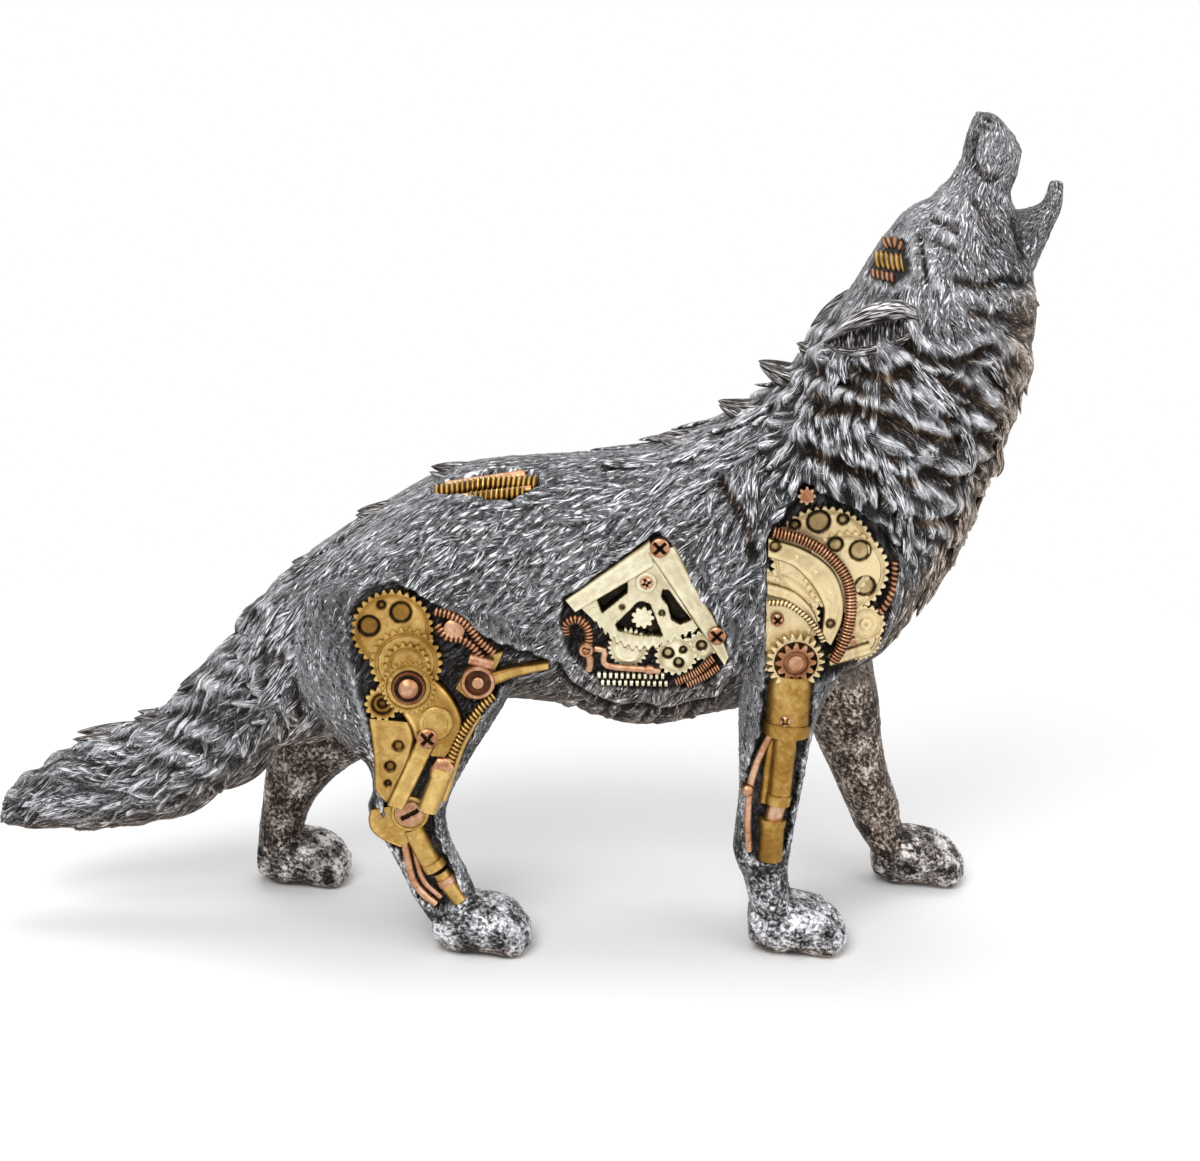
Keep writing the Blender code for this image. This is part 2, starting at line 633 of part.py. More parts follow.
def haunch_works(w):
    arm = [(-29, 94), (-21.5, 90.5), (-16, 81), (-15.4, 73), (-19.5, 68), (-26, 72), (-30, 81), (-35, 86)]
    left = [(-40, 78.5), (-31, 77), (-27.6, 72.5), (-29.8, 64), (-33.5, 56.5), (-38.4, 58), (-39.2, 67)]
    coil = [(-19.6, 110.4, -0.8), (-13.2, 108, -0.2), (-9.1, 102.9, -0.2), (-3.8, 96.6, -0.8)]
    spring = [(-6.8, 83.6, -0.8), (-12.1, 77.1, -0.4), (-15.3, 71.3, -0.4), (-17.3, 66, -0.6)]
    hub = [(7.0, ROOT), (7.0, 0.6), (6.2, 1.3), (4.3, 1.3), (4.1, 2.2), (2.6, 2.9)]
    pulley = [(4.8, ROOT), (4.8, 0.5), (3.4, 0.5), (3.3, -0.7), (1.1, -0.7), (1.0, 0.9)]
    return [
        w.gear("upper gear", -33, 104.7, 11.7, 30, -1.9),
        w.gear("middle gear", -29.3, 95.2, 10.0, 26, -1.1),
        w.gear("hub gear", -28.9, 94.4, 6.3, 16, 0.2, 1.0),
        w.turned("hub", -28.6, 88.9, hub),
        w.gear("corner pinion", -35.8, 82.9, 5.4, 12, -0.9, 1.0),
        w.prism("swing arm", arm, ROOT, -0.4),
        w.turned("boss", -21.1, 77.8, [(4.7, ROOT), (4.7, 0.7), (4.0, 1.2)], 14),
        w.turned("boss screw", -23.4, 74.2, [(2.7, ROOT), (2.7, 1.7), (2.0, 2.1)], 12),
        w.prism("left plate", left, ROOT, -1.5),
        w.bar("link bar", (-23.4, 73.5), (-33.1, 53), 4.6, 0.8),
        w.turned("pulley", -9, 89.8, pulley, 16),
        w.bar("lever", (-5, 90), (11, 94), 3.2, 0.1, 1.5),
        w.tube("coil", coil, 1.3),
        w.turned("pipe cap", -15.5, 104.4, [(2.7, ROOT), (2.7, -0.3), (1.8, 0.1)], 10),
        w.tube("spring", spring, 1.3),
        w.tube("hex nut", [(-18.9, 66.2, -1.6), (-19.7, 62.9, -1.6)], 3.6, 3),
        w.tube("gold cylinder", [(-19.6, 63.2, -1.5), (-24, 51.5, -1.8)], 2.8, 7),
    ]


def hock_works(w):
    ring = [(5.5, ROOT), (5.5, 0.8), (4.8, 1.5), (3.9, 1.5), (3.8, 0.9), (3.5, 1.9)]
    lobe = [(-33, 52), (-40.5, 49.5), (-41, 44), (-37.5, 41), (-31.5, 38.4), (-26, 42.5), (-26, 50)]
    tendon = [(-30.2, 38.8, -1.2), (-29.5, 30.6, -1.0), (-28.3, 25.4, -1.0), (-24.2, 20.6, -1.2)]
    return [
        w.prism("heel plate", lobe, ROOT, -0.2),
        w.turned("hub ring", -29.5, 48, ring),
        w.tube("hock cylinder", [(-31.2, 40.2, -1.6), (-22.8, 32.2, -1.6)], 2.8, 7),
        w.turned("joint", -21.8, 30.6, [(2.5, ROOT), (2.5, 0.4), (1.6, 1.0)], 10),
        w.tube("lower rod", [(-21, 30, -1.5), (-15.9, 20.8, -1.5)], 2.1, 6),
        w.tube("tendon", tendon, 0.9, 4),
    ]


def ribs_works(w):
    right = [(38, 128.4), (42, 131.5), (46.6, 126.6), (51.5, 113.6), (61, 99.6), (59.2, 94.4)]
    sector = [(17.5, 109.5), (38.5, 123), (46, 116), (58, 97), (52, 94.4), (46, 98), (37.6, 96.4)]
    sector += [(30, 98), (23.5, 103.5)]
    loop = [(15.4, 104.4, -2.0), (17.9, 107.9, -1.2), (20.8, 104.1, -1.0), (21.4, 99.4, -1.1), (21.7, 92.6, -1.8)]
    pipe = [(24.4, 98.6, -1.6), (26.5, 94.8, -1.4), (36.5, 93.3, -1.4), (42.6, 92.3, -1.8)]
    return [
        w.prism("sector plate", sector, ROOT, -1.5),
        w.bar("left bar", (16.4, 111.6), (39.3, 127.8), 3.0, -0.7),
        w.prism("right bar", right, ROOT, -0.3),
        w.gear("sector gear", 33, 100.6, 5.8, 16, -1.9, 1.0),
        w.gear("ring gear", 47, 98.2, 4.9, 14, -0.9, 0.9),
        w.tube("loop", loop, 1.4),
        w.tube("pipe", pipe, 0.85, 4),
        w.turned("fitting", 39, 92.9, [(1.5, -5), (1.5, -0.6), (0.9, -0.1)], 8),
        w.tube("worm", [(25, 89.8, -2.2), (45, 89.6, -2.2)], 1.5),
        w.tube("long coil", [(48.2, 89.4, -1.9), (56.8, 96.6, -1.6)], 1.1, 4),
        w.tube("short coil", [(53.2, 89.8, -2.0), (58.4, 94.6, -1.8)], 1.1, 4),
        w.turned("top screw", 41.7, 129.1, [(2.4, ROOT), (2.4, 0.7), (1.6, 1.2)], 12),
        w.turned("middle screw", 38.1, 119.1, [(2.2, ROOT), (2.2, 0.2), (1.5, 0.7)], 12),
        w.turned("lower screw", 58, 103.8, [(2.3, ROOT), (2.3, 0.8), (1.6, 1.3)], 12),
    ]


def head_works(w):
    return [
        w.tube("upper coil", [(103.5, 210.8, -2.8), (109.5, 210.6, -1.2)], 1.4),
        w.tube("worm", [(101.5, 206, -3.2), (110.2, 206, -1.2)], 2.5, 6),
        w.tube("lower coil", [(100.8, 201.8, -2.4), (107.4, 201.6, -1.2)], 1.3),
    ]


def back_works(w):
    return [
        w.tube("long worm", [(-21, -12.4, -1.7), (8, -15.4, -1.7)], 2.1),
        w.tube("short worm", [(-11, -17.6, -1.7), (4, -18.6, -1.7)], 1.9),
        w.tube("pipe", [(-19, -10, -2.0), (3, -10.2, -2.0)], 1.4, 4),
    ]


def holes(shoulder, haunch, ribs):
    """The round and cut holes in the raised plates, as cutters that stop under the plate's face."""
    made = []
    for w, u, v, radius, low in (
        (shoulder, 86.3, 136.3, 3.5, -3.4),
        (shoulder, 80.1, 135.6, 1.7, -3.4),
        (shoulder, 93.6, 137.2, 1.7, -3.4),
        (shoulder, 98.7, 128.1, 3.3, -2.8),
        (shoulder, 99.4, 117.8, 3.1, -2.8),
        (haunch, -30.6, 109.8, 3.0, -3.1),
        (haunch, -39.6, 106, 3.0, -3.1),
        (haunch, -31.8, 71.4, 1.5, -3.0),
        (haunch, -34.4, 65.3, 1.5, -3.0),
    ):
        made.append(w.turned("hole", u, v, [(radius, low), (radius, 12)], 12))
    made.append(ribs.prism("triangle", [(37, 112.9), (30, 105.8), (42.9, 103)], -3.4, 12))
    made.append(ribs.prism("left slot", [(24.6, 113.6), (32, 118.2), (32.6, 115.4), (26.4, 109.8)], -3.4, 12))
    made.append(ribs.prism("right slot", [(42.6, 116.4), (44.6, 117.4), (50, 108.6), (48, 107.2)], -3.4, 12))
    return made


def combine(thing, pieces, how):
    """One exact Boolean of the object with all the pieces, which are then removed."""
    group = bpy.data.collections.new(how)
    bpy.context.scene.collection.children.link(group)
    for piece in pieces:
        bpy.context.scene.collection.objects.unlink(piece)
        group.objects.link(piece)
        piece.hide_render = True
        piece.display_type = "WIRE"
    step = thing.modifiers.new(how, "BOOLEAN")
    step.operation = how
    step.operand_type = "COLLECTION"
    step.collection = group
    step.solver = "EXACT"
    apply_modifiers(thing)
    for piece in pieces:
        bpy.data.objects.remove(piece, do_unlink=True)
    bpy.data.collections.remove(group)


def stand_on_soles(thing):
    """Lowers the casting to the ground plane, cuts off what is under it and closes the soles flat."""
    shape = bmesh.new()
    shape.from_mesh(thing.data)
    bmesh.ops.translate(shape, verts=shape.verts, vec=(0, 0, -SOLE_LEVEL))
    parts = shape.verts[:] + shape.edges[:] + shape.faces[:]
    cut = bmesh.ops.bisect_plane(
        shape, geom=parts, plane_co=(0, 0, 0), plane_no=(0, 0, 1), clear_inner=True
    )
    rim = [e for e in cut["geom_cut"] if isinstance(e, bmesh.types.BMEdge)]
    bmesh.ops.holes_fill(shape, edges=rim, sides=0)
    bmesh.ops.triangulate(shape, faces=[f for f in shape.faces if len(f.verts) > 4])
    shape.to_mesh(thing.data)
    shape.free()


def to_size(thing):
    """Stretches the drawn outline along X and Z to the named length and height, with the soles kept on the ground."""
    points = np.array([v.co for v in thing.data.vertices])
    drawn = points.max(0) - points.min(0)
    stretch = Vector((WHOLE_LENGTH / drawn[0], 1.0, WHOLE_HEIGHT / drawn[2]))
    for v in thing.data.vertices:
        v.co = v.co * stretch


def finish(thing):
    """Smooth shading with sharp creases, and the casting's own material."""
    for face in thing.data.polygons:
        face.use_smooth = True
    thing.data.set_sharp_from_angle(angle=math.radians(35))
    paint = bpy.data.materials.new("cast resin, silver on black")
    paint.use_nodes = True
    shader = paint.node_tree.nodes["Principled BSDF"]
    shader.inputs["Base Color"].default_value = (0.22, 0.22, 0.23, 1)
    shader.inputs["Metallic"].default_value = 0.6
    shader.inputs["Roughness"].default_value = 0.45
    thing.data.materials.clear()
    thing.data.materials.append(paint)


def build():
    clear_scene()
    body = joined("bare body", body_pieces())
    melt(body, SKIN_CELL, SKIN_SMOOTH_ROUNDS)
    skin = tree_of(body)
    furry = joined("wolf_casting", [body, *flank_locks(skin), *edge_locks(), *ears(skin)])
    melt(furry, SKIN_CELL, 1)
    thin_out(furry, SKIN_TRIANGLES)
    shoulder = Window("shoulder", skin, SHOULDER_WINDOW, WINDOW_DEPTH)
    foreleg = Window("foreleg", skin, FORELEG_WINDOW, SHALLOW_DEPTH)
    haunch = Window("haunch", skin, HAUNCH_WINDOW, WINDOW_DEPTH)
    hock = Window("hock", skin, HOCK_WINDOW, SHALLOW_DEPTH)
    ribs = Window("ribs", skin, RIBS_WINDOW, WINDOW_DEPTH)
    head = Window("head", skin, HEAD_WINDOW, SHALLOW_DEPTH)
    back = Window("back", skin, BACK_WINDOW, SHALLOW_DEPTH, from_above=True)
    windows = (shoulder, foreleg, haunch, hock, ribs, head, back)
    combine(furry, [w.cutter() for w in windows], "DIFFERENCE")
    works = shoulder_works(shoulder) + foreleg_works(foreleg) + haunch_works(haunch)
    works += hock_works(hock) + ribs_works(ribs) + head_works(head) + back_works(back)
    combine(furry, works, "UNION")
    combine(furry, holes(shoulder, haunch, ribs), "DIFFERENCE")
    stand_on_soles(furry)
    to_size(furry)
    finish(furry)


build()
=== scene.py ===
import math

import bpy
import numpy as np
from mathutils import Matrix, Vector


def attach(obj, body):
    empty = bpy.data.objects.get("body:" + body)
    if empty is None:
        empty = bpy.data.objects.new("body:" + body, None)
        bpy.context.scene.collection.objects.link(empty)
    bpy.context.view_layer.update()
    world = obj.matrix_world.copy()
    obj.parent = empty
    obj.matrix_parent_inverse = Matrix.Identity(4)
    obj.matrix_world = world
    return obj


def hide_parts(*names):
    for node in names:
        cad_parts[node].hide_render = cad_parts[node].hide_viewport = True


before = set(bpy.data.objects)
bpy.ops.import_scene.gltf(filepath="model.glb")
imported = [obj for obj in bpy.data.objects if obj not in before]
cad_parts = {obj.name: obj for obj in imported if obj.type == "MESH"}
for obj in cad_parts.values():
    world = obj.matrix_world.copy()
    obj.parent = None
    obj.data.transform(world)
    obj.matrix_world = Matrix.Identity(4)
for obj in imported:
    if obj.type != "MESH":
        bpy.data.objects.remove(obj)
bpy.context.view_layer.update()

# Everything is laid out in millimetres on the measured outline, x to the head and z up, with the near side
# at -y. At the end it is lowered by SOLE_LEVEL onto the ground and put in metres.
SOLE_LEVEL = 3.2
ABOVE_GROUND = 0.02
CELL = 0.62
SECTION_SQUARENESS = 2.35
LEG_OFFSET = 24.0
LEG_SPLAY = 1.5
MUSCLE_CENTRE = 17.0
WINDOW_FLOOR = 4.4
SHALLOW_FLOOR = 3.2
ROOT = -6.5
FLOOR_STEP = 0.12

# A screw's slots in degrees, a cut that is only a dark dot, a painted shade for a pivot hole, and the colour
# of bare recesses
CROSS_SLOTS = (45, 135)
PIVOT_HOLE_SHADE = (0, 0, 0.01, 0)
RECESS_COLOUR = (0.012, 0.010, 0.008, 1)

# How far apart two locks' streaks are read from the noise, and how many points are worked on at a time
LOCKS_APART = 83.0
LOCK_BATCH = 1.2e6

# The section that sets a loft's number of columns: this share of all sections, in percent, is smaller
TYPICAL_SECTION = 70

# The camera fitted to the photo, in metres and radians, and where the lamps look
CAMERA_PLACE = (0.025667, -0.700, 0.3118)
CAMERA_TILT = 0.285826
CAMERA_LENS = 74.05
LAMPS_LOOK_AT = (0, 0, 0.11)

# A window's torn edge
RAGGED = 0.5
LIP_REACH = 1.7
LIP_RISE = 1.5
THIN_LIP_RISE = 0.8
BEAD_PLACE = 0.8
BEAD_WIDTH = 0.7

# Fur: large locks start to stand off the hide at the first length and stand fully off it at the second
SHAGGY = (14, 22)
MANE_FROM = 15
MOST_TUFTS = 96
TUFT_LENGTH = 21
TUFT_WIDTH = 6.5
TUFT_THICKNESS = 2.6
TUFT_LIFT = 2.2

# Legs: heights between which strands give way to stipple and brown comes in
STIPPLE_FROM = (80, 60)
STIPPLE_SOFTNESS = 0.38
BROWN_FROM = (104, 82)
TOES = (-8.4, -2.9, 2.9, 8.4)
TOE_HALF = 2.9
TOE_RISE = 1.7
PAW_SHIFT = 0.8
PAW_STRETCH = 0.95

# Outline stations: (front or back line x, z), (other line x, z), half width
TRUNK = [
    ((-80, 96), (-77, 62), 13), ((-72, 107), (-66, 62), 25), ((-58, 118.5), (-54, 64), 31.5),
    ((-37, 132.5), (-34, 68), 34), ((-15, 143.5), (-12, 75), 33.5), ((10, 146.5), (12, 74), 32.5),
    ((32, 148), (37, 67), 33.5), ((47, 152), (62, 71.5), 35.5), ((59, 156.5), (88, 79), 37.5),
    ((68.5, 161), (106, 91), 38.5), ((77, 167), (120, 105.5), 38), ((84.5, 176), (129, 120), 36.5),
    ((91.5, 187), (135, 137), 34.5), ((98, 196.5), (141, 151.5), 32), ((102.5, 204.5), (145, 163), 29),
    ((106.5, 211), (148.5, 178), 26), ((110, 215.5), (150, 190), 23), ((114.5, 219.5), (149, 200), 19),
    ((119.8, 222.5), (147.5, 211), 15.5), ((123.8, 227), (142, 222.2), 11.5),
    ((127, 232.5), (143.4, 229), 9.5),
    ((128.2, 238.5), (144.2, 235.5), 8.8), ((129.2, 242.4), (141.6, 240.4), 7.6),
    ((130.6, 245.4), (138.2, 244.2), 5.6),
]
JAW = [
    ((134, 208), (147, 197), 12), ((141.6, 217.2), (150.8, 207), 10.5), ((147, 218.8), (153.8, 214), 7.6),
    ((151, 220.8), (156, 220.2), 5.4), ((152.8, 226.2), (156.2, 226.2), 3.4),
]
TAIL = [
    ((-62, 106), (-58, 66), 19), ((-78, 97), (-71, 59), 19), ((-89, 86), (-81, 49), 19),
    ((-99, 74), (-91, 43), 18.5), ((-111, 66), (-102, 37), 17.5), ((-124, 61), (-116, 33.5), 15.5),
    ((-136, 56), (-130, 32), 13), ((-147, 48), (-142, 32), 9.5), ((-154.5, 41), (-152, 32.5), 5.5),
    ((-156.5, 36), (-155.5, 33), 2.5),
]
NEAR_FORELEG = [
    ((112, 128), (66, 124), 11), ((106, 108), (66, 104), 13.5), ((95, 90), (66, 88), 12.5),
    ((88, 74), (66, 73), 11.5), ((84.5, 54), (66.3, 54), 10.5), ((82.5, 42), (65.5, 42), 10.2),
    ((81.5, 34), (65, 34), 10), ((81, 26), (68, 26), 8.8), ((83, 18), (70, 18), 9), ((87, 9), (73, 9), 8.5),
]
FAR_FORELEG = [
    ((112, 128), (72, 124), 11), ((109, 104), (76, 104), 13.5), ((109, 82), (82, 86), 12.5),
    ((112, 64), (86, 66), 11.5), ((113.5, 50), (92.5, 52), 10.5), ((116, 39), (98.5, 39), 10.2),
    ((119.3, 30), (102.5, 30), 9.6), ((120.3, 23), (106, 22), 8.8), ((124, 16), (110.5, 15), 9),
    ((128, 8), (115, 8), 8.5),
]
NEAR_HIND_LEG = [
    ((4, 118), (-58, 112), 7), ((8, 106), (-63, 98), 12.5), ((4, 92), (-61, 84), 14.5),
    ((-3, 78), (-52, 71), 13.5), ((-11, 65), (-42.5, 62), 12), ((-17, 54), (-40.5, 54), 10.5),
    ((-19.6, 46), (-42, 47), 9.5), ((-18.3, 37.5), (-37.5, 38), 8.8), ((-14, 28), (-32.5, 28), 8.4),
    ((-11, 20), (-28.5, 19), 8.4), ((-7, 11), (-22, 9), 8.2),
]
FAR_HIND_LEG = [
    ((4, 116), (-58, 112), 7), ((6, 104), (-63, 100), 12.5), ((0, 88), (-66, 90), 14),
    ((-18, 68), (-72, 74), 13), ((-40, 50), (-75, 62), 11.5), ((-53, 42), (-77, 50), 9.8),
    ((-61.5, 34), (-79, 39), 9), ((-65.8, 27), (-80.3, 29), 8.6), ((-68, 19.5), (-81.8, 20), 8.4),
    ((-68, 11), (-82, 11), 8.2),
]

# A paw: distance from the heel, lowest and highest point over the sole, half width
PAW_SHAPE = [
    (0, 3, 14, 6.5), (6, 0, 17.4, 9.4), (14, 0, 17, 10.8), (21, 0, 14.4, 11.4), (25.5, 0, 11, 10.2),
    (28.5, 2.5, 7.5, 5.5),
]

# The legs: stations, side, length of fur, seed, windows, cell, how much lighter, share of brown, and of the
# paw the place of its heel, how much lighter and the share of brown. The far legs are painted browner and
# their paws darker than the near ones, as painted shade.
LEGS = [
    ("near_foreleg", NEAR_FORELEG, -1, 6, 41, ("shoulder", "foreleg"), 0.68, 0.0, 0.0, (69.5, 0.14, 0.0)),
    ("near_hind_leg", NEAR_HIND_LEG, -1, 7, 51, ("haunch", "hock"), 0.7, 0.0, 0.0, (-24.0, 0.1, 0.0)),
    ("far_foreleg", FAR_FORELEG, 1, 6, 61, (), 0.95, -0.02, 0.6, (111.5, 0.04, 0.3)),
    ("far_hind_leg", FAR_HIND_LEG, 1, 7, 71, (), 0.95, 0.0, 0.5, (-82.5, 0.04, 0.25)),
]

# Swells of the trunk: centre, half length and half height, reach from the middle plane
MUSCLES = {"shoulder": ((93, 116), (25, 30), 37.2), "haunch": ((-27, 92), (27, 33), 37.6)}

# Windows on the near flank: outline x, z, the works' mean level as a plane in x, z, and the floor's depth
WINDOWS = {
    "shoulder": (
        [(82, 148.5), (95, 141.5), (105.9, 135.4), (109.3, 125.6), (108, 109.4), (104, 98), (95, 92),
         (84, 89), (72.6, 91), (72.2, 112), (72.1, 133), (76.7, 139)],
        (37.4157, -0.0619, 0.0431), WINDOW_FLOOR),
    "foreleg": (
        [(72.6, 94), (87, 93), (85.6, 74), (82.4, 56), (79.8, 38), (74, 33.5), (69, 36), (67.4, 48),
         (68, 60), (71.2, 74)],
        (31.7554, 0.0117, 0.0347), SHALLOW_FLOOR),
    "haunch": (
        [(-34, 118.6), (-27.5, 116.4), (-20, 111.5), (-3, 101), (11, 95), (11, 92.2), (-2.5, 87.5),
         (-8, 79.5), (-13, 70), (-17, 61), (-21, 51), (-37, 51), (-39, 69), (-42.3, 85), (-45.2, 97),
         (-45.4, 109), (-41, 116.6)],
        (39.7152, -0.0558, -0.051), WINDOW_FLOOR),
    "hock": (
        [(-36, 53), (-23, 53), (-22, 42), (-17.5, 31), (-14, 21), (-21.5, 18), (-28, 22), (-31, 33),
         (-37.5, 42)],
        (31.7733, -0.0208, 0.0244), SHALLOW_FLOOR),
    "ribs": (
        [(42, 133), (15.5, 113), (14.2, 107), (16.2, 97), (26.5, 87), (42.5, 85), (56.4, 87.5), (61.6, 95.4),
         (60.8, 104), (52.4, 116), (46.4, 128)],
        (27.1512, 0.0512, 0.038), WINDOW_FLOOR),
    "head": (
        [(105, 212), (110.6, 211.8), (111.6, 204), (107.5, 199.8), (101.2, 200.6), (102.2, 206)],
        (39.3202, 1.7046, -1.0089), SHALLOW_FLOOR),
}
# The window on the back is seen from above: outline x, y, and a plane in x, y
WINDOWS["back"] = (
    [(-24, -10), (-15, -8), (-2, -7.5), (7, -11), (9.5, -17), (1.5, -21.5), (-8.6, -20.5), (-20, -15)],
    (148.6743, 0.1665, 0.3833), SHALLOW_FLOOR)

# Which way the fur lies on the trunk, neck and head: at (x, z), towards (dx, dz)
FLOW = [
    (132, 244, -0.3, -0.95), (138, 236, 0.1, -1), (130, 230, -0.35, -0.93), (140, 226, 0.0, -1),
    (118, 219, -0.7, -0.7), (126, 214, -0.2, -1), (110, 212, -0.7, -0.7), (118, 205, -0.3, -0.95),
    (136, 212, 0.5, -0.85), (144, 204, 0.75, -0.6), (128, 200, 0.3, -0.95), (104, 204, -0.7, -0.7),
    (118, 192, 0.35, -0.93), (132, 190, 0.8, -0.6), (143, 190, 0.9, -0.35), (98, 194, -0.7, -0.7),
    (108, 180, 0.65, -0.75), (124, 178, 0.85, -0.5), (138, 174, 0.85, -0.5), (90, 182, -0.6, -0.75),
    (96, 168, 0.45, -0.9), (112, 162, 0.75, -0.65), (130, 156, 0.7, -0.7), (80, 170, -0.75, -0.65),
    (84, 158, 0.1, -1), (98, 150, 0.4, -0.9), (116, 144, 0.55, -0.83), (128, 134, 0.35, -0.93),
    (66, 158, -0.85, -0.5), (70, 146, -0.35, -0.94), (62, 130, -0.5, -0.87), (64, 112, -0.25, -0.97),
    (112, 122, 0.1, -1), (118, 108, -0.2, -1), (102, 94, -0.5, -0.86), (50, 150, -0.95, -0.3),
    (46, 138, -0.8, -0.6), (34, 130, -0.85, -0.5), (18, 125, -0.8, -0.6), (8, 108, -0.7, -0.7),
    (0, 96, -0.85, -0.5), (20, 145, -0.97, -0.2), (-5, 140, -0.95, -0.3), (-15, 124, -0.8, -0.6),
    (-28, 134, -0.9, -0.45), (-40, 122, -0.8, -0.6), (-52, 104, -0.55, -0.83), (-54, 84, -0.35, -0.94),
    (-70, 100, -0.75, -0.65), (24, 84, -0.4, -0.9), (44, 76, -0.35, -0.94), (62, 84, -0.25, -0.97),
    (30, 70, -0.9, -0.3), (80, 80, -0.5, -0.86),
]

# Pointed locks that stand past the outline: root, tip, width
EDGE_LOCKS = [
    ((95, 176), (82.5, 179.5), 9), ((86, 168), (71.5, 174.5), 10), ((76, 159), (60, 162.5), 11),
    ((60, 150), (43, 152.5), 11), ((-6, 138), (-24, 142.8), 10), ((-30, 129), (-46, 129.5), 10),
    ((-50, 117), (-66, 113.5), 10), ((-66, 106), (-81, 98.5), 10), ((-83, 88), (-101, 75), 10),
    ((-97, 68), (-114, 67), 9), ((-112, 60), (-133, 60), 8), ((-75, 58), (-88, 43.5), 10),
    ((-90, 48), (-104, 35), 9),
    ((138, 197), (151.3, 191.5), 10), ((136, 186), (149.6, 180.5), 10), ((134, 173), (146.5, 166), 10),
    ((130, 160), (143.5, 151), 10), ((125, 149), (137, 139), 10), ((120, 138), (133.5, 128), 10),
    ((112, 122), (123.5, 110), 10), ((98, 104), (108.5, 94.5), 9), ((34, 80), (28, 70.5), 9),
    ((46, 82), (41.5, 69.5), 10), ((56, 84), (53, 72.5), 9), ((22, 82), (12, 73.5), 8),
    ((8, 85), (0, 76.5), 7),
    ((40, 80), (35, 71), 6), ((62, 86), (62, 75), 8), ((50, 82), (47.5, 70.5), 6), ((28, 80), (20, 71.5), 7),
]

# How long the large locks are: at (x, z), the length
LOCK_SIZE = [
    (132, 244, 3.5), (138, 235, 4), (126, 226, 4.5), (118, 216, 6), (112, 206, 8), (128, 206, 7),
    (142, 214, 5), (116, 196, 10), (140, 198, 12), (124, 188, 15), (134, 180, 22), (112, 178, 24),
    (96, 170, 26), (126, 160, 26), (110, 150, 22), (124, 140, 22), (84, 160, 22), (70, 148, 16),
    (62, 116, 14), (104, 92, 13), (112, 116, 15), (40, 142, 15), (20, 138, 14), (-12, 128, 15),
    (-40, 116, 15), (-60, 92, 17), (30, 75, 14), (60, 80, 13), (4, 100, 11), (44, 110, 13), (-76, 84, 20),
]

# Ridges and grooves on the flanks, from (x1, z1) to (x2, z2), half width, height; here those of the face
RIDGES = [
    (133.0, 245.6, 133.8, 244.6, 0.9, -1.5), (131, 242.6, 135.6, 241.6, 0.8, -0.6),
    (135.2, 237, 136.4, 234.4, 4.2, 2.3), (129.6, 234, 131.6, 230.2, 0.8, -1.1),
    (131.6, 230.2, 136, 228.6, 0.9, -1.2), (130.6, 240, 129.6, 233, 0.9, -1.0),
    (129.8, 232.5, 133.6, 228.6, 0.9, -1.0), (129.5, 243, 125.2, 229, 1.4, 0.5),
    (113, 220, 117.5, 223.4, 2.4, 2.0), (117.5, 223.4, 123.5, 223.6, 2.0, 1.6),
    (118.4, 217.6, 121.8, 216.8, 0.7, -1.0), (121.8, 216.8, 124.4, 214.8, 0.7, -1.0),
    (119.6, 219.4, 124.4, 217.6, 1.0, 0.9), (118.8, 215.2, 123.4, 212.8, 1.1, 1.0),
    (118.2, 212.8, 124, 210.4, 0.7, -0.7), (125.6, 218, 127.6, 222.6, 0.9, 0.7),
    (112.4, 217, 113.8, 204, 1.4, 1.4), (114.6, 213, 116, 202, 0.7, -1.0), (116.4, 210, 118.4, 200, 1.3, 1.1),
    (111.5, 200, 111.2, 191, 1.6, 1.4), (111.2, 191, 115.2, 184.6, 1.7, 1.7),
    (115.2, 184.6, 122, 183.2, 1.7, 1.7), (122, 183.2, 133.6, 186.6, 1.6, 1.5),
    (108.6, 190, 113, 182, 1.5, -2.2), (113, 182, 122, 180.2, 1.4, -2.2),
    (122, 180.2, 134, 183.6, 1.4, -1.8), (124, 202.6, 131, 200.8, 0.9, -1.2),
    (131, 200.8, 138, 202.4, 0.9, -1.5), (138, 202.4, 146, 199.6, 1.0, -1.6),
    (125, 198.4, 134, 196.6, 1.5, 1.0), (134, 196.6, 147, 196.8, 1.6, 1.2),
    (128, 193.6, 136, 192.4, 0.9, -1.1),
    (136, 192.4, 147, 188.6, 1.0, -1.5), (133, 226.8, 137.4, 223.8, 0.9, 0.8),
    (137.4, 223.8, 140.4, 220.4, 0.9, 0.8), (140.4, 220.4, 146, 217.8, 0.9, 0.8),
    (141, 217, 144, 207, 1.1, -1.0), (130, 222, 136, 214, 1.0, -0.6),
]

# Furrows between the rows of the mane, on the shoulder and on the tail root, each a line of points
FURROWS = [
    [(86.1, 166.9), (95.7, 169), (104, 166.9), (110.9, 163.3), (121.8, 159.7), (130.1, 158.3), (137, 160)],
    [(80.6, 176.9), (91.6, 175.4), (98.5, 171.9)], [(95.7, 178.3), (105.4, 176.9), (113.6, 180.5)],
    [(112.2, 178.3), (121.8, 176.2), (128.7, 172.6), (136, 166)],
    [(84, 157), (91.6, 153.3), (102.6, 149.7), (112, 148.6)],
    [(116, 151), (122, 148.6), (128, 147.6), (134, 150)], [(108, 139), (116, 136), (123, 136.5)],
    [(60, 146), (66, 138), (68, 128)], [(-66, 96), (-62, 86), (-61, 76)], [(-96, 70), (-104, 60), (-112, 56)],
]

# The lip under the ribs window, and where folds hang from it
SILL = [
    (13.6, 97), (17.6, 89.4), (24.4, 84.8), (31.5, 81.9), (38, 83), (45.6, 80.8), (52.4, 83.4), (59.4, 84.6),
    (64, 93),
]
SILL_FOLDS = (18, 25.8, 30.6, 38.2, 42.8, 50.4, 55.4)
FOLD_TOP = 78.5
FOLD_FOOT = 73
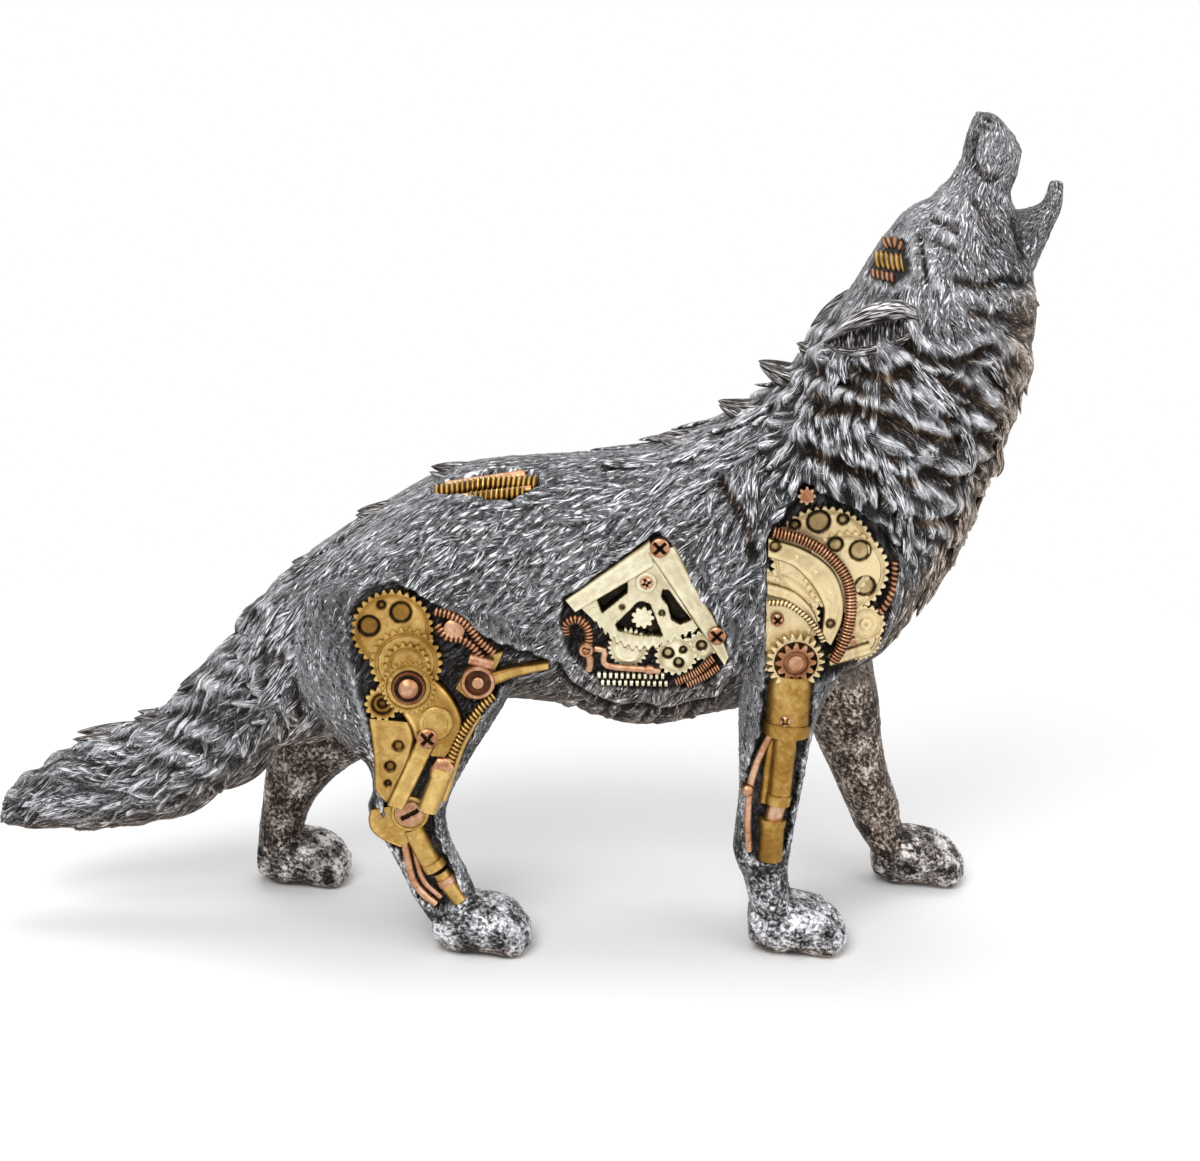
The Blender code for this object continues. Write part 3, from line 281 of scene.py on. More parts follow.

# How warm the gold paint is in each window, and how much lighter or darker it is painted there as painted
# light and shade, where it isn't 1
GOLD_WARMTH = {"ribs": 0.0, "shoulder": 0.5}
GOLD_LIGHT_AND_SHADE = {"ribs": 1.1, "shoulder": 1.12, "foreleg": 0.74, "hock": 0.88}


def beside(line, dx, dz, wide, high):
    """Ridge rows from point to point of a line that is moved by dx, dz."""
    return [(a[0] + dx, a[1] + dz, b[0] + dx, b[1] + dz, wide, high) for a, b in zip(line[:-1], line[1:])]


RIDGES += beside(SILL, 0, 0, 1.4, 1.6) + beside(SILL, 0, -3.6, 0.9, -1.6)
RIDGES += [(x, FOLD_TOP, x - 3, FOLD_FOOT, 1.1, 1.3) for x in SILL_FOLDS]
RIDGES += [(x + 3, FOLD_TOP, x, FOLD_FOOT, 0.8, -1.5) for x in SILL_FOLDS]
for furrow in FURROWS:
    RIDGES += beside(furrow, 0, 0, 1.5, -2.0) + beside(furrow, -0.6, 3, 1.9, 1.1)


def smooth_rows(rows, at):
    """Values at fractional row places, on a curve through every row with the slope of its two neighbours."""
    rows = np.asarray(rows, float)
    slopes = np.gradient(rows, axis=0)
    i = np.clip(at.astype(int), 0, len(rows) - 2)
    t = (at - i)[:, None]
    start = (2 * t**3 - 3 * t**2 + 1) * rows[i] + (t**3 - 2 * t**2 + t) * slopes[i]
    return start + (3 * t**2 - 2 * t**3) * rows[i + 1] + (t**3 - t**2) * slopes[i + 1]


def paces(line):
    """The distance from each point of a line to the next."""
    return np.linalg.norm(np.diff(line, axis=0), axis=1)


def summed(steps):
    """The run length at each point of a line, from zero on, out of the steps between them."""
    return np.concatenate([[0], np.cumsum(steps)])


def smooth_line(path, steps):
    """A curve through the points of a path, straight if there are two, and the run length along it."""
    path = np.array(path, float)
    if len(path) > 2:
        line = smooth_rows(path, np.linspace(0, len(path) - 1, steps))
    else:
        line = np.linspace(*path, steps)
    return line, summed(paces(line))


def at_lengths(lengths, run, line):
    """The points of a line at the given run lengths."""
    return np.stack([np.interp(lengths, run, column) for column in line.T], 1)


def evenly(rows, cell, dense_from, dense):
    """Fractional places along the rows, a cell apart, and closer past the row dense_from by the factor."""
    fine = np.linspace(0, len(rows) - 1, 900)
    line = smooth_rows(rows, fine)
    middle = (line[:, 0:2] + line[:, 2:4]) / 2
    edge = paces(line[:, 0:2]) + paces(line[:, 2:4])
    step = np.maximum(paces(middle), edge / 2)
    step *= 1 + (dense - 1) * np.clip(fine[1:] - dense_from, 0, 1)
    length = summed(step)
    count = max(int(length[-1] / cell), 8)
    return np.interp(np.linspace(0, length[-1], count), length, fine)


def squared_off(value, power):
    """The value's size to the power, with its sign, which makes a superellipse out of a circle."""
    return np.sign(value) * np.abs(value) ** power


def loft_grid(stations, middle_y, lean=0.0, cell=CELL, near_pace=1.0, dense_from=99, dense=1.0, cap=0.8):
    """Points of a loft as rows along it and columns round it.

    Each section is a superellipse between its two outline points, x and z going with sign(cos a) |cos a|^p
    and y with sign(sin a) |sin a|^p times the half width. Rounded caps close the ends: there the section
    shrinks with the cosine of an angle while it moves on along the axis with the sine.
    """
    rows = np.array([(*a, *b, w) for a, b, w in stations], float)
    at = evenly(rows, cell, dense_from, dense)
    line = smooth_rows(rows, at)
    half = np.linalg.norm(line[:, 0:2] - line[:, 2:4], axis=1) / 2
    a, b = np.percentile(half, TYPICAL_SECTION), np.percentile(line[:, 4], TYPICAL_SECTION)
    power = 2 / SECTION_SQUARENESS
    fine = np.linspace(0, 2 * np.pi, 2000)
    ring = np.stack([squared_off(np.cos(fine), power) * a, squared_off(np.sin(fine), power) * b], 1)
    girth = summed(paces(ring) * np.where(np.sin(fine[1:]) < 0, near_pace, 2 - near_pace))
    columns = int(girth[-1] / cell)
    angles = np.interp(np.linspace(0, girth[-1], columns, endpoint=False), girth, fine)
    up = squared_off(np.cos(angles), power)
    side = squared_off(np.sin(angles), power)
    middle = np.stack([(line[:, 0] + line[:, 2]) / 2,
                       middle_y + lean * at / (len(rows) - 1), (line[:, 1] + line[:, 3]) / 2], 1)
    arm = np.stack([(line[:, 0] - line[:, 2]) / 2, np.zeros(len(at)), (line[:, 1] - line[:, 3]) / 2], 1)
    wide = line[:, 4]
    grow = np.ones(len(at))
    for end, before in ((0, 1), (-1, -2)):
        reach = min(half[end], wide[end]) * cap
        turns = np.linspace(0, math.radians(84), max(int(reach * 1.5 / cell), 4))[1:]
        heading = middle[end] - middle[before]
        heading = heading / np.linalg.norm(heading)
        more = middle[end] + heading * (np.sin(turns) * reach)[:, None]
        size = np.cos(turns)
        arms = arm[end] * np.ones((len(turns), 1))
        wides = wide[end] * np.ones(len(turns))
        if end == 0:
            middle, arm = np.vstack([more[::-1], middle]), np.vstack([arms, arm])
            wide, grow = np.concatenate([wides, wide]), np.concatenate([size[::-1], grow])
        else:
            middle, arm = np.vstack([middle, more]), np.vstack([arm, arms])
            wide, grow = np.concatenate([wide, wides]), np.concatenate([grow, size])
    points = middle[:, None, :] + arm[:, None, :] * (up[None, :, None] * grow[:, None, None])
    points[:, :, 1] += side[None, :] * (wide * grow)[:, None]
    return points


def grid_normals(points):
    """Outward unit normals of a grid whose columns close on themselves."""
    along = np.gradient(points, axis=0)
    around = np.roll(points, -1, axis=1) - np.roll(points, 1, axis=1)
    normal = np.cross(along, around)
    normal /= np.linalg.norm(normal, axis=2, keepdims=True) + 1e-12
    middle = points.mean(axis=1, keepdims=True)
    if np.sum(normal * (points - middle)) < 0:
        normal = -normal
    return normal


def unit(v):
    """Directions of length one."""
    return v / (np.linalg.norm(v, axis=-1, keepdims=True) + 1e-12)


def bell(gap, wide):
    """A bell curve: one where the gap is zero, falling off over the half width."""
    return np.exp(-((gap / wide) ** 2))


def round_angles(count):
    """So many even angles round the full circle."""
    return np.linspace(0, 2 * np.pi, count, endpoint=False)


def stacked(*parts):
    """Parts that spread over each other, put together along a new last axis."""
    return np.stack(np.broadcast_arrays(*parts), -1)


def turned(flow, normals, angle):
    """Directions in the skin, each turned round its normal by an angle."""
    return flow * np.cos(angle)[..., None] + np.cross(normals, flow) * np.sin(angle)[..., None]


def in_plane(flow, normals):
    """Unit directions of a flow, laid into the plane of the skin."""
    return unit(flow - normals * np.sum(flow * normals, axis=-1, keepdims=True))


def inside(x, z, outline):
    """Signed distance to a closed outline in the plane, positive inside it."""
    best = np.full(x.shape, 1e9)
    odd = np.zeros(x.shape, bool)
    corners = np.array(outline, float)
    for a, b in zip(corners, np.roll(corners, -1, axis=0)):
        ex, ez = b - a
        t = np.clip(((x - a[0]) * ex + (z - a[1]) * ez) / (ex * ex + ez * ez), 0, 1)
        best = np.minimum(best, np.hypot(x - a[0] - t * ex, z - a[1] - t * ez))
        crosses = (a[1] > z) != (b[1] > z)
        odd ^= crosses & (x < (b[0] - a[0]) * (z - a[1]) / (b[1] - a[1] + 1e-12) + a[0])
    return np.where(odd, best, -best)


def lump(points, size, seed):
    """A smooth random field in space, as the sum of a few sine waves in random directions."""
    draw = np.random.default_rng(seed)
    total = np.zeros(points.shape[:-1])
    for _ in range(7):
        wave = draw.normal(size=points.shape[-1])
        wave *= 2 * np.pi / size / np.linalg.norm(wave) * draw.uniform(0.6, 1.6)
        total += np.sin(points @ wave + draw.uniform(0, 6.28))
    return total / 3.5


def spread(points, rows):
    """Values by x and z: the mean of the rows' values, each weighted by 1 / (distance squared + 20)^1.6."""
    rows = np.array(rows, float)
    flat = points[..., [0, 2]].reshape(-1, 2)
    total, weights = np.zeros((len(flat), rows.shape[1] - 2)), np.zeros((len(flat), 1))
    for row in rows:
        weight = 1 / (((flat - row[:2]) ** 2).sum(1) + 20)[:, None] ** 1.6
        total += weight * row[2:]
        weights += weight
    return (total / weights).reshape(*points.shape[:-1], -1)


def smooth(value, low, high):
    """0 at low, 1 at high and an S-shaped curve between them; low may be the larger one."""
    t = np.clip((value - low) / (high - low), 0, 1)
    return t * t * (3 - 2 * t)


def blurred(field, rounds):
    """The field averaged with its four neighbours, so many rounds."""
    for _ in range(rounds):
        padded = np.pad(field, ((1, 1), (0, 0)), mode="edge")
        field = (padded[:-2] + padded[2:] + np.roll(field, 1, 1) + np.roll(field, -1, 1) + 2 * field) / 6
    return field


def trunk_flow(points, normals):
    """The lie of the fur: the FLOW directions spread over the side view and laid into the skin."""
    flat = unit(spread(points, FLOW))
    outward = 0.2 * np.sign(points[..., 1]) * np.clip(normals[..., 2], 0, 1)
    return in_plane(np.stack([flat[..., 0], outward, flat[..., 1]], -1), normals)


def along_flow(points, normals):
    """The lie of the fur on a leg or the tail: along its rows, from the first one to the last."""
    return in_plane(np.gradient(points, axis=0), normals)


def lay_locks(points, normals, flow, length, width, height, spacing, seed, fan):
    """Overlapping locks of fur on a grid of points.

    Each lock is a leaf on the skin: with t from its root to its tip, its half width goes with
    t^0.4 (1 - t)^0.55, its height rises with t and is rounded across by (1 - s^2)^0.4. The highest lock wins
    at each point.

    length, width, height and spacing are arrays over the grid, and fan is how far locks turn off the
    flow. Returns the height, the place across and along the winning lock in mm, and its random number.
    """
    draw = np.random.default_rng(seed)
    rows, cols = points.shape[:2]
    row_step = np.linalg.norm(np.gradient(points, axis=0), axis=2) + 1e-3
    col_step = np.linalg.norm(np.roll(points, -1, 1) - points, axis=2) + 1e-3
    chance = row_step * col_step / spacing**2
    r, c = np.nonzero(draw.uniform(0, 1, (rows, cols)) < chance)
    count = len(r)
    long = length[r, c] * draw.uniform(0.75, 1.25, count)
    wide = width[r, c] * draw.uniform(0.75, 1.3, count)
    high = height[r, c] * draw.uniform(0.55, 1.3, count)
    bend = draw.normal(0, 0.3, count) / long
    centre, normal = points[r, c], normals[r, c]
    run = unit(turned(flow[r, c], normal, draw.normal(0, fan, count)))
    across = np.cross(normal, run)
    row_reach = np.ceil(long * 0.6 / row_step[r, c]).astype(int)
    col_reach = np.minimum(np.ceil(long * 0.6 / col_step[r, c]).astype(int), cols // 3)
    order = np.argsort(row_reach * 1000 + col_reach)
    total = np.cumsum((2 * row_reach[order] + 1) * (2 * col_reach[order] + 1))
    batches = np.split(order, np.searchsorted(total, np.arange(LOCK_BATCH, total[-1], LOCK_BATCH)))
    found = []
    for part in batches:
        if not len(part):
            continue
        up, aside = row_reach[part].max(), col_reach[part].max()
        di, dj = np.meshgrid(np.arange(-up, up + 1), np.arange(-aside, aside + 1), indexing="ij")
        i = r[part][:, None] + di.ravel()
        j = (c[part][:, None] + dj.ravel()) % cols
        good = (i >= 0) & (i < rows)
        i = np.clip(i, 0, rows - 1)
        gap = points[i, j] - centre[part][:, None]
        a = np.einsum("kpc,kc->kp", gap, run[part])
        b = np.einsum("kpc,kc->kp", gap, across[part]) - bend[part][:, None] * a * a
        t = a / long[part][:, None] + 0.5
        share = np.clip(t, 0, 1)
        s = b / (wide[part][:, None] * 0.78 * share**0.4 * (1 - share) ** 0.55 + 1e-6)
        good &= (t > 0) & (t < 1) & (np.abs(s) < 1)
        good &= np.einsum("kpc,kc->kp", normals[i, j], normal[part]) > 0.2
        rise = high[part][:, None] * (0.1 + 0.9 * share) * (1 - np.clip(s * s, 0, 1)) ** 0.4
        which = np.nonzero(good)
        place = i[which] * cols + j[which]
        found.append(np.stack([rise[which], b[which], a[which], part[which[0]], place], 1))
    found = np.concatenate(found)
    found = found[np.argsort(found[:, 0], kind="stable")]
    chosen = draw.uniform(0, 1, count)[found[:, 3].astype(int)]
    out = np.zeros((rows * cols, 4))
    out[found[:, 4].astype(int)] = np.stack([found[:, 0], found[:, 1], found[:, 2], chosen], 1)
    return out.reshape(rows, cols, 4)


def furred(points, flow, size, seed, calm=1.0):
    """The grid with two layers of locks on it, and the marks its paint reads.

    size is the length of the large locks over the grid. The marks are lock and tone. Lock is the place
    across and along the large lock, or the small one where there is none, and its random number. Tone is
    the paint's brightness, the share of bare recess, and the share of warm brown tint. The brightness
    rises where a point is higher than its surroundings, partly as dry-brushed silver on raised fur and
    partly as painted shade: hollows and faces that look down are painted darker, and such faces and the
    mane's deep gaps browner.
    """
    normals = grid_normals(points)
    shag = smooth(size, *SHAGGY) * calm
    flow = turned(flow, normals, 0.4 * lump(points, 15, seed + 5) * (0.5 + shag))
    high = (0.03 * size + 0.12) * calm + 0.055 * size * shag
    wide = size * 0.21 + 0.4
    large = lay_locks(points, normals, flow, size * 0.95, wide, high, 0.15 * size + 0.7, seed, 0.26)
    small = 0.38 * size + 2.6
    wide = 0.08 * small + 0.62
    high = 0.16 + 0.026 * small
    fine = lay_locks(points, normals, flow, small, wide, high, 0.09 * small + 0.75, seed + 1, 0.3)
    swell = 1.5 * lump(points * [1, 1, 1.5], 15, seed) * shag
    lift = large[..., 0] + fine[..., 0] + swell
    out = points + normals * (lift - blurred(lift, 2).mean())[..., None]
    depth = blurred(lift, 30) - lift
    # Painted shade: darker in hollows below the surrounding fur and, through under, on faces that look down;
    # raised fur is lighter, partly as dry-brushed silver
    relief_and_light = 0.5 - 0.08 * shag + 0.9 * (lift - blurred(lift, 4)) - 0.4 * np.clip(depth, -0.6, 2.0)
    under = smooth(-normals[..., 2], 0.1, 0.95)
    relief_and_light -= 0.16 * under
    # Faces that look down and the mane's deep gaps are painted browner, a painted shade
    warm = np.maximum(0.6 * under, 0.9 * smooth(depth, 0.3, 1.1) * shag)
    lock = np.where(large[..., 3:] > 0, large[..., 1:], fine[..., 1:])
    lock[..., 0] *= 1 + 1.3 * shag
    return {"points": out, "lock": lock, "tone": stacked(np.clip(relief_and_light, 0, 1), 0, warm), "normals": normals}


def ridges(piece, rows):
    """Ridges and grooves on both flanks.

    Along the line from x1, z1 to x2, z2 the skin rises by the height given, falling off beside it as a bell
    curve of the given half width. The highest ridge and the deepest groove count at each point.
    """
    points, tone = piece["points"], piece["tone"]
    flat = points[..., [0, 2]]
    up, down = np.zeros(flat.shape[:2]), np.zeros(flat.shape[:2])
    for x1, z1, x2, z2, wide, high in rows:
        a, run = np.array([x1, z1]), np.array([x2 - x1, z2 - z1]) + 1e-6
        t = np.clip(((flat - a) @ run) / (run @ run), 0, 1)
        gap = np.linalg.norm(flat - a - t[..., None] * run, axis=-1)
        here = high * bell(gap, wide)
        up, down = np.maximum(up, here), np.minimum(down, here)
    rise = (up + down) * np.clip(np.abs(piece["normals"][..., 1]) * 1.6, 0, 1)
    piece["points"] = points + piece["normals"] * rise[..., None]
    # Grooves are painted darker and browner as painted shade, and ridges a little lighter
    tone[..., 0] = np.clip(tone[..., 0] + np.clip(0.33 * rise, -0.5, 0.2), 0, 1)
    tone[..., 2] = np.maximum(tone[..., 2], np.clip(-0.5 * rise, 0, 0.9) * (points[..., 0] < 136))


def open_windows(piece, names, rank):
    """Sinks the near skin inside each window's ragged outline to its floor, with a raised torn lip round it.

    Outside the outline the skin is first brought up to the works' mean level, by no more than the lip's
    rise, with a weight that falls as a bell curve over the lip's reach. A random field moves the outline in
    and out. With a higher rank the floor lies deeper, so that the floors of a leg and the trunk don't share
    one level.
    """
    points, tone = piece["points"], piece["tone"]
    for k, name in enumerate(names):
        outline, (a, b, c), depth = WINDOWS[name]
        if name == "back":
            u, v, here, up = points[..., 0], points[..., 1], points[..., 2], 1
        else:
            u, v, here, up = points[..., 0], points[..., 2], -points[..., 1], -1
        top = here > (100 if name == "back" else 1)
        level = a + b * u + c * v
        d = inside(u, v, outline) + RAGGED * lump(points, 5.0, 70 + k)
        bead = bell(d + BEAD_PLACE, BEAD_WIDTH)
        most = THIN_LIP_RISE if name in ("head", "back") else LIP_RISE
        raised = here + np.clip(level - 0.9 - here, 0, most) * (bell(np.clip(-d, 0, None), LIP_REACH) * top)
        raised = raised + 0.5 * bead * top
        sunk = np.minimum(raised, level - depth - FLOOR_STEP * rank)
        share = smooth(d, -0.25, 0.55) * top
        moved = raised + (sunk - raised) * share
        points[..., 2 if name == "back" else 1] += up * (moved - here)
        tone[..., 1] = np.maximum(tone[..., 1], 0.84 * share * (np.abs(sunk - here) > 0.4))
        # The bead along the lip is painted lighter, and a band 3.4 mm outside the outline darker as painted
        # shade
        bright = bead * (0.6 + 0.5 * lump(points, 9.0, 90 + k))
        tone[..., 0] = np.clip(tone[..., 0] + (0.22 * bright - 0.1 * bell(d + 3.4, 1.3)) * top, 0, 1)


def chest_tint(points):
    """The share of brown on the front of the neck and chest, a painted shade there.

    It grows over 10 mm of x past a line that leans forward, and fades out from 190 to 208 mm of height.
    """
    edge = np.interp(points[..., 2], [80, 120, 160, 200], [88, 112, 130, 136])
    return 0.7 * smooth(points[..., 0] - edge, 0, 10) * smooth(points[..., 2], 208, 190)


def tufts(piece, flow, picks, seed):
    """Separate pointed locks that stand up from a furred grid.

    Each starts at a picked row and column and follows the lie of the fur over the grid in equal steps,
    rising with the 1.6th power of the share of its length. Its section is an oval with small ribs, whose
    width goes with t^0.5 (1 - t)^0.7.
    """
    draw = np.random.default_rng(seed)
    points, normals = piece["points"], piece["normals"]
    rows, cols = points.shape[:2]
    along, around = np.gradient(points, axis=0), (np.roll(points, -1, 1) - np.roll(points, 1, 1)) / 2
    place = np.array(picks, float)
    count, steps = len(place), 13
    long = TUFT_LENGTH * draw.uniform(0.75, 1.25, count)
    turn = draw.normal(0, 0.22, count)
    path, up, side = [], [], []
    for _ in range(steps):
        i = np.clip(place[:, 0].round().astype(int), 0, rows - 1)
        j = place[:, 1].round().astype(int) % cols
        run = unit(turned(flow[i, j], normals[i, j], turn))
        path.append(points[i, j])
        up.append(normals[i, j])
        side.append(np.cross(normals[i, j], run))
        pace = (long / (steps - 1))[:, None] * run
        place[:, 0] += np.sum(pace * along[i, j], 1) / (np.sum(along[i, j] ** 2, 1) + 1e-6)
        place[:, 1] += np.sum(pace * around[i, j], 1) / (np.sum(around[i, j] ** 2, 1) + 1e-6)
    path, up, side = (np.stack(v, 1) for v in (path, up, side))
    for _ in range(4):
        for v in (path, up, side):
            v[:, 1:-1] = (v[:, :-2] + v[:, 2:] + 2 * v[:, 1:-1]) / 4
    t = np.linspace(0, 1, steps)
    rise = (-0.25 * TUFT_THICKNESS + TUFT_LIFT * t**1.6)[None, :, None]
    middle = path + unit(up) * rise * draw.uniform(0.6, 1.3, count)[:, None, None]
    turns = round_angles(10)
    swell = 1.75 * (t + 0.03) ** 0.5 * (1.003 - t) ** 0.7
    rib = 1 + 0.1 * np.cos(3 * turns[None, :] + draw.uniform(0, 6, count)[:, None])
    half = (TUFT_WIDTH * draw.uniform(0.75, 1.25, count) / 2)[:, None, None] * swell[None, :, None]
    half = half * rib[:, None, :]
    deep = (TUFT_THICKNESS / 2 * swell**0.8)[None, :, None] * rib[:, None, :]
    across = half * np.cos(turns)
    grid = middle[:, :, None] + side[:, :, None] * across[..., None]
    grid = grid + unit(up)[:, :, None] * (deep * np.sin(turns))[..., None]
    t = t[None, :, None]
    lock = stacked(across, t * long[:, None, None], draw.uniform(0, 1, count)[:, None, None])
    # The tuft is painted darker on its underside and at its root and lighter towards its tip, painted shade
    # and highlight; its ribs are lighter
    relief_and_light = np.clip(0.3 + 0.16 * np.sin(turns) + 0.12 * (rib - 1)[:, None, :] / 0.1 + 0.12 * t, 0, 1)
    # Tufts that look down are painted browner, a painted shade
    warm = np.maximum(0.6 * smooth(-up[..., 2], 0.35, 0.95)[:, :, None], chest_tint(grid))
    tone = stacked(relief_and_light, 0, warm)
    return [{"points": grid[k], "lock": lock[k], "tone": tone[k]} for k in range(count)]


def edge_lock(root, tip, width, y, seed):
    """A pointed lock past the outline.

    Its oval section shrinks with (1 - t)^0.7, its line sags by the sine of the way along, and five shallow
    ribs run along it.
    """
    draw = np.random.default_rng(seed)
    t = np.linspace(0, 1, 16)
    turns = round_angles(20)
    root, tip = np.array([root[0], y, root[1]]), np.array([tip[0], 0.8 * y, tip[1]])
    run = unit(tip - root)
    side = np.array([-run[2], 0, run[0]]) * (1 if run[0] > 0 else -1)
    sag = draw.uniform(-0.06, 0.12) * np.linalg.norm(tip - root) * np.sin(np.pi * t)
    middle = root + (tip - root) * t[:, None] - side * sag[:, None]
    rib = 1 + 0.09 * np.cos(5 * turns + draw.uniform(0, 6))
    half = 0.5 * width * (t + 0.02) ** 0.12 * (1.002 - t) ** 0.7
    across = half[:, None] * rib * np.cos(turns)
    grid = middle[:, None] + side * across[..., None]
    grid[..., 1] += 0.85 * half[:, None] * rib * np.sin(turns)
    t = t[:, None]
    lock = stacked(0.3 * width * (turns - 4.7), 18 * t, draw.uniform())
    # The ribs are lighter, and the lock is painted lighter towards its tip as a painted highlight
    tone = stacked(np.clip(0.32 + 1.2 * (rib - 1) + 0.1 * t, 0, 1), 0, np.maximum(0.25, chest_tint(grid)))
    return {"points": grid, "lock": lock, "tone": tone}


def on(window, u, v, high):
    """Points in a window from x, z and the height over its mean level; in the back window from x and y."""
    a, b, c = WINDOWS[window][1]
    level = a + b * u + c * v + high
    sides = (u, v, level) if window == "back" else (u, -level, v)
    return stacked(*sides)


def marked(points, clean_and_lit, across, along, seed):
    """A works piece with its marks: its brightness is 1 on polished metal and falls to 0 where the dark wash
    has settled and where shade is painted.
    """
    shape = points.shape[:2]
    lock = stacked(np.broadcast_to(across, shape), along, seed % 1)
    return {"points": points, "lock": lock, "tone": stacked(np.broadcast_to(clean_and_lit, shape), 0, 0)}


def wheel(window, u, v, profile, teeth=0, depth=1.2, cuts=(), slots=(), flats=0):
    """A turned piece round x, z: rows of (radius, height) times an angle.

    With teeth the radius is held to the tip radius less depth times one minus a flattened cosine of teeth
    times the angle; with flats it is the distance to the sides of that polygon. Each cut (du, dv, radius,
    depth) sinks a round dish into the top, and each slot a groove at that angle in degrees.
    """
    rows = [np.array(profile[0], float)]
    for a, b in zip(profile[:-1], profile[1:]):
        n = max(1, int(math.dist(a, b) / 0.4)) if cuts or slots else 1
        rows += [np.array(a) + (np.array(b) - np.array(a)) * (k + 1) / n for k in range(n)]
    rows = np.array(rows)
    radius, high = rows[:, :1], rows[:, 1:]
    tip, top = radius.max(), high.max()
    plain_sides = 54 if cuts or slots or flats else 30
    angle = round_angles(teeth * 8 or plain_sides)
    if teeth:
        radius = np.minimum(radius, tip - depth * (1 - np.clip(0.5 + 1.6 * np.cos(teeth * angle), 0, 1)))
    if flats:
        radius = radius * (math.cos(math.pi / flats) / np.cos(angle % (2 * np.pi / flats) - np.pi / flats))
    x, y = radius * np.cos(angle), radius * np.sin(angle)
    # Lower parts and the roots of the teeth are painted darker: dark wash and painted shade
    clean_and_lit = 1 - 0.9 * smooth(top - high, 0.5, 2.2) - 0.3 * bell(radius - tip + depth + 0.5, 0.4) * (teeth > 0)
    for du, dv, size, deep in cuts:
        gap = np.hypot(x - du, y - dv)
        on_top = high > top - 1.6
        # Each dish gets a dark ring at its edge and a darker floor: dark wash and painted shade
        high = high - deep * smooth(size - gap, -0.25, 0.25) * on_top
        clean_and_lit = clean_and_lit - (1.1 * bell(gap - size + 0.15, 0.42) + 0.3 * (gap < size)) * on_top
    for slot in slots:
        s = math.radians(slot)
        across = np.abs(-x * math.sin(s) + y * math.cos(s))
        inset = smooth(0.15 * tip - across, -0.1, 0.12) * (np.hypot(x, y) < 0.7 * tip) * (high > top - 1)
        # The slot is painted darker, a painted shade in the groove
        high, clean_and_lit = high - 0.7 * inset, clean_and_lit - 1.2 * inset
    return marked(on(window, u + x, v + y, high), np.clip(clean_and_lit, 0, 1), x, y, u * 0.37 + v * 0.61)


def gear(window, u, v, tip, teeth, high, depth=1.2, cuts=(), web=0.35, hub=0.0):
    """A toothed wheel with a raised rim, a web sunk by the amount given, and a hub if it has one.

    Without cuts it has a dark dot at its pivot, the painted shade of a hole.
    """
    rim = tip - depth - 1.1
    profile = [(tip, ROOT), (tip, high - 0.25), (tip - 0.2, high), (rim, high), (rim - 0.3, high - web)]
    if hub:
        profile += [(hub + 0.3, high - web), (hub, high + 0.1), (0.4, high + 0.2)]
    else:
        profile += [(0.4, high - web)]
    return wheel(window, u, v, profile, teeth, depth, cuts or [PIVOT_HOLE_SHADE])


def strip(window, one, other, high, cuts=(), lip=0.0, cell=0.45, openings=(), teeth=0.0):
    """A plate between two edges.

    Both edges are smooth curves through their points at the same share of their length, and the plate runs
    straight from one to the other, with rounded borders, an optional lip along them, and walls down to the
    floor. Openings are outlines sunk into it, and with teeth the other edge goes in and out by 1.2 mm at
    that pitch.
    """
    (line, run), (other_line, other_run) = smooth_line(one, 400), smooth_line(other, 400)
    count = max(8, min(120, int(run[-1] / cell), int(other_run[-1] / cell)))
    share = np.linspace(0, 1, count)
    a = at_lengths(share * run[-1], run, line)
    b = at_lengths(share * other_run[-1], other_run, other_line)
    if teeth:
        tooth = 1.2 * smooth(np.cos(2 * np.pi * share * other_run[-1] / teeth), -0.4, 0.4)
        b = b + unit(a - b) * tooth[:, None]
    wide = np.linalg.norm(b - a, axis=1).mean()
    inset = min(0.3 / wide, 0.2)
    inner = np.linspace(inset, 1 - inset, max(4, int(wide / cell)))
    t = np.concatenate([[0, 0], inner, [1, 1]])
    drop = np.concatenate([[high - ROOT, 0.35], np.zeros(len(inner)), [0.35, high - ROOT]])
    flat = a[:, None] * (1 - t[None, :, None]) + b[:, None] * t[None, :, None]
    u, v = flat[..., 0], flat[..., 1]
    border = np.minimum(t, 1 - t) * wide
    top = high - drop + lip * bell(border - 0.7, 0.4)
    # A lighter band runs inside the rounded border; the outer edge and the walls down to the floor are
    # painted darker, a painted shade
    edge = 0.9 + 0.18 * bell(border - 0.8, 0.45)
    clean_and_lit = edge - 0.45 * bell(border, 0.35) - 0.8 * (drop > 1)
    for at_u, at_v, size, deep in cuts:
        gap = np.hypot(u - at_u, v - at_v)
        top = top - deep * smooth(size - gap, -0.2, 0.2)
        # Each cut gets a dark ring at its edge and a darker floor when sunk: dark wash and painted shade
        clean_and_lit = clean_and_lit - 1.1 * bell(gap - size + 0.1, 0.35) - 0.3 * (gap < size) * (deep > 0)
    for outline in openings:
        gap = inside(u, v, outline)
        top = top - 3.0 * smooth(gap, -0.2, 0.2)
        # Openings are painted darker inside, a painted shade in the sunk slots
        clean_and_lit = clean_and_lit - 1.2 * smooth(gap, -0.5, 0.1)
    return marked(on(window, u, v, top), np.clip(clean_and_lit, 0, 1), border, share[:, None] * 20, high)


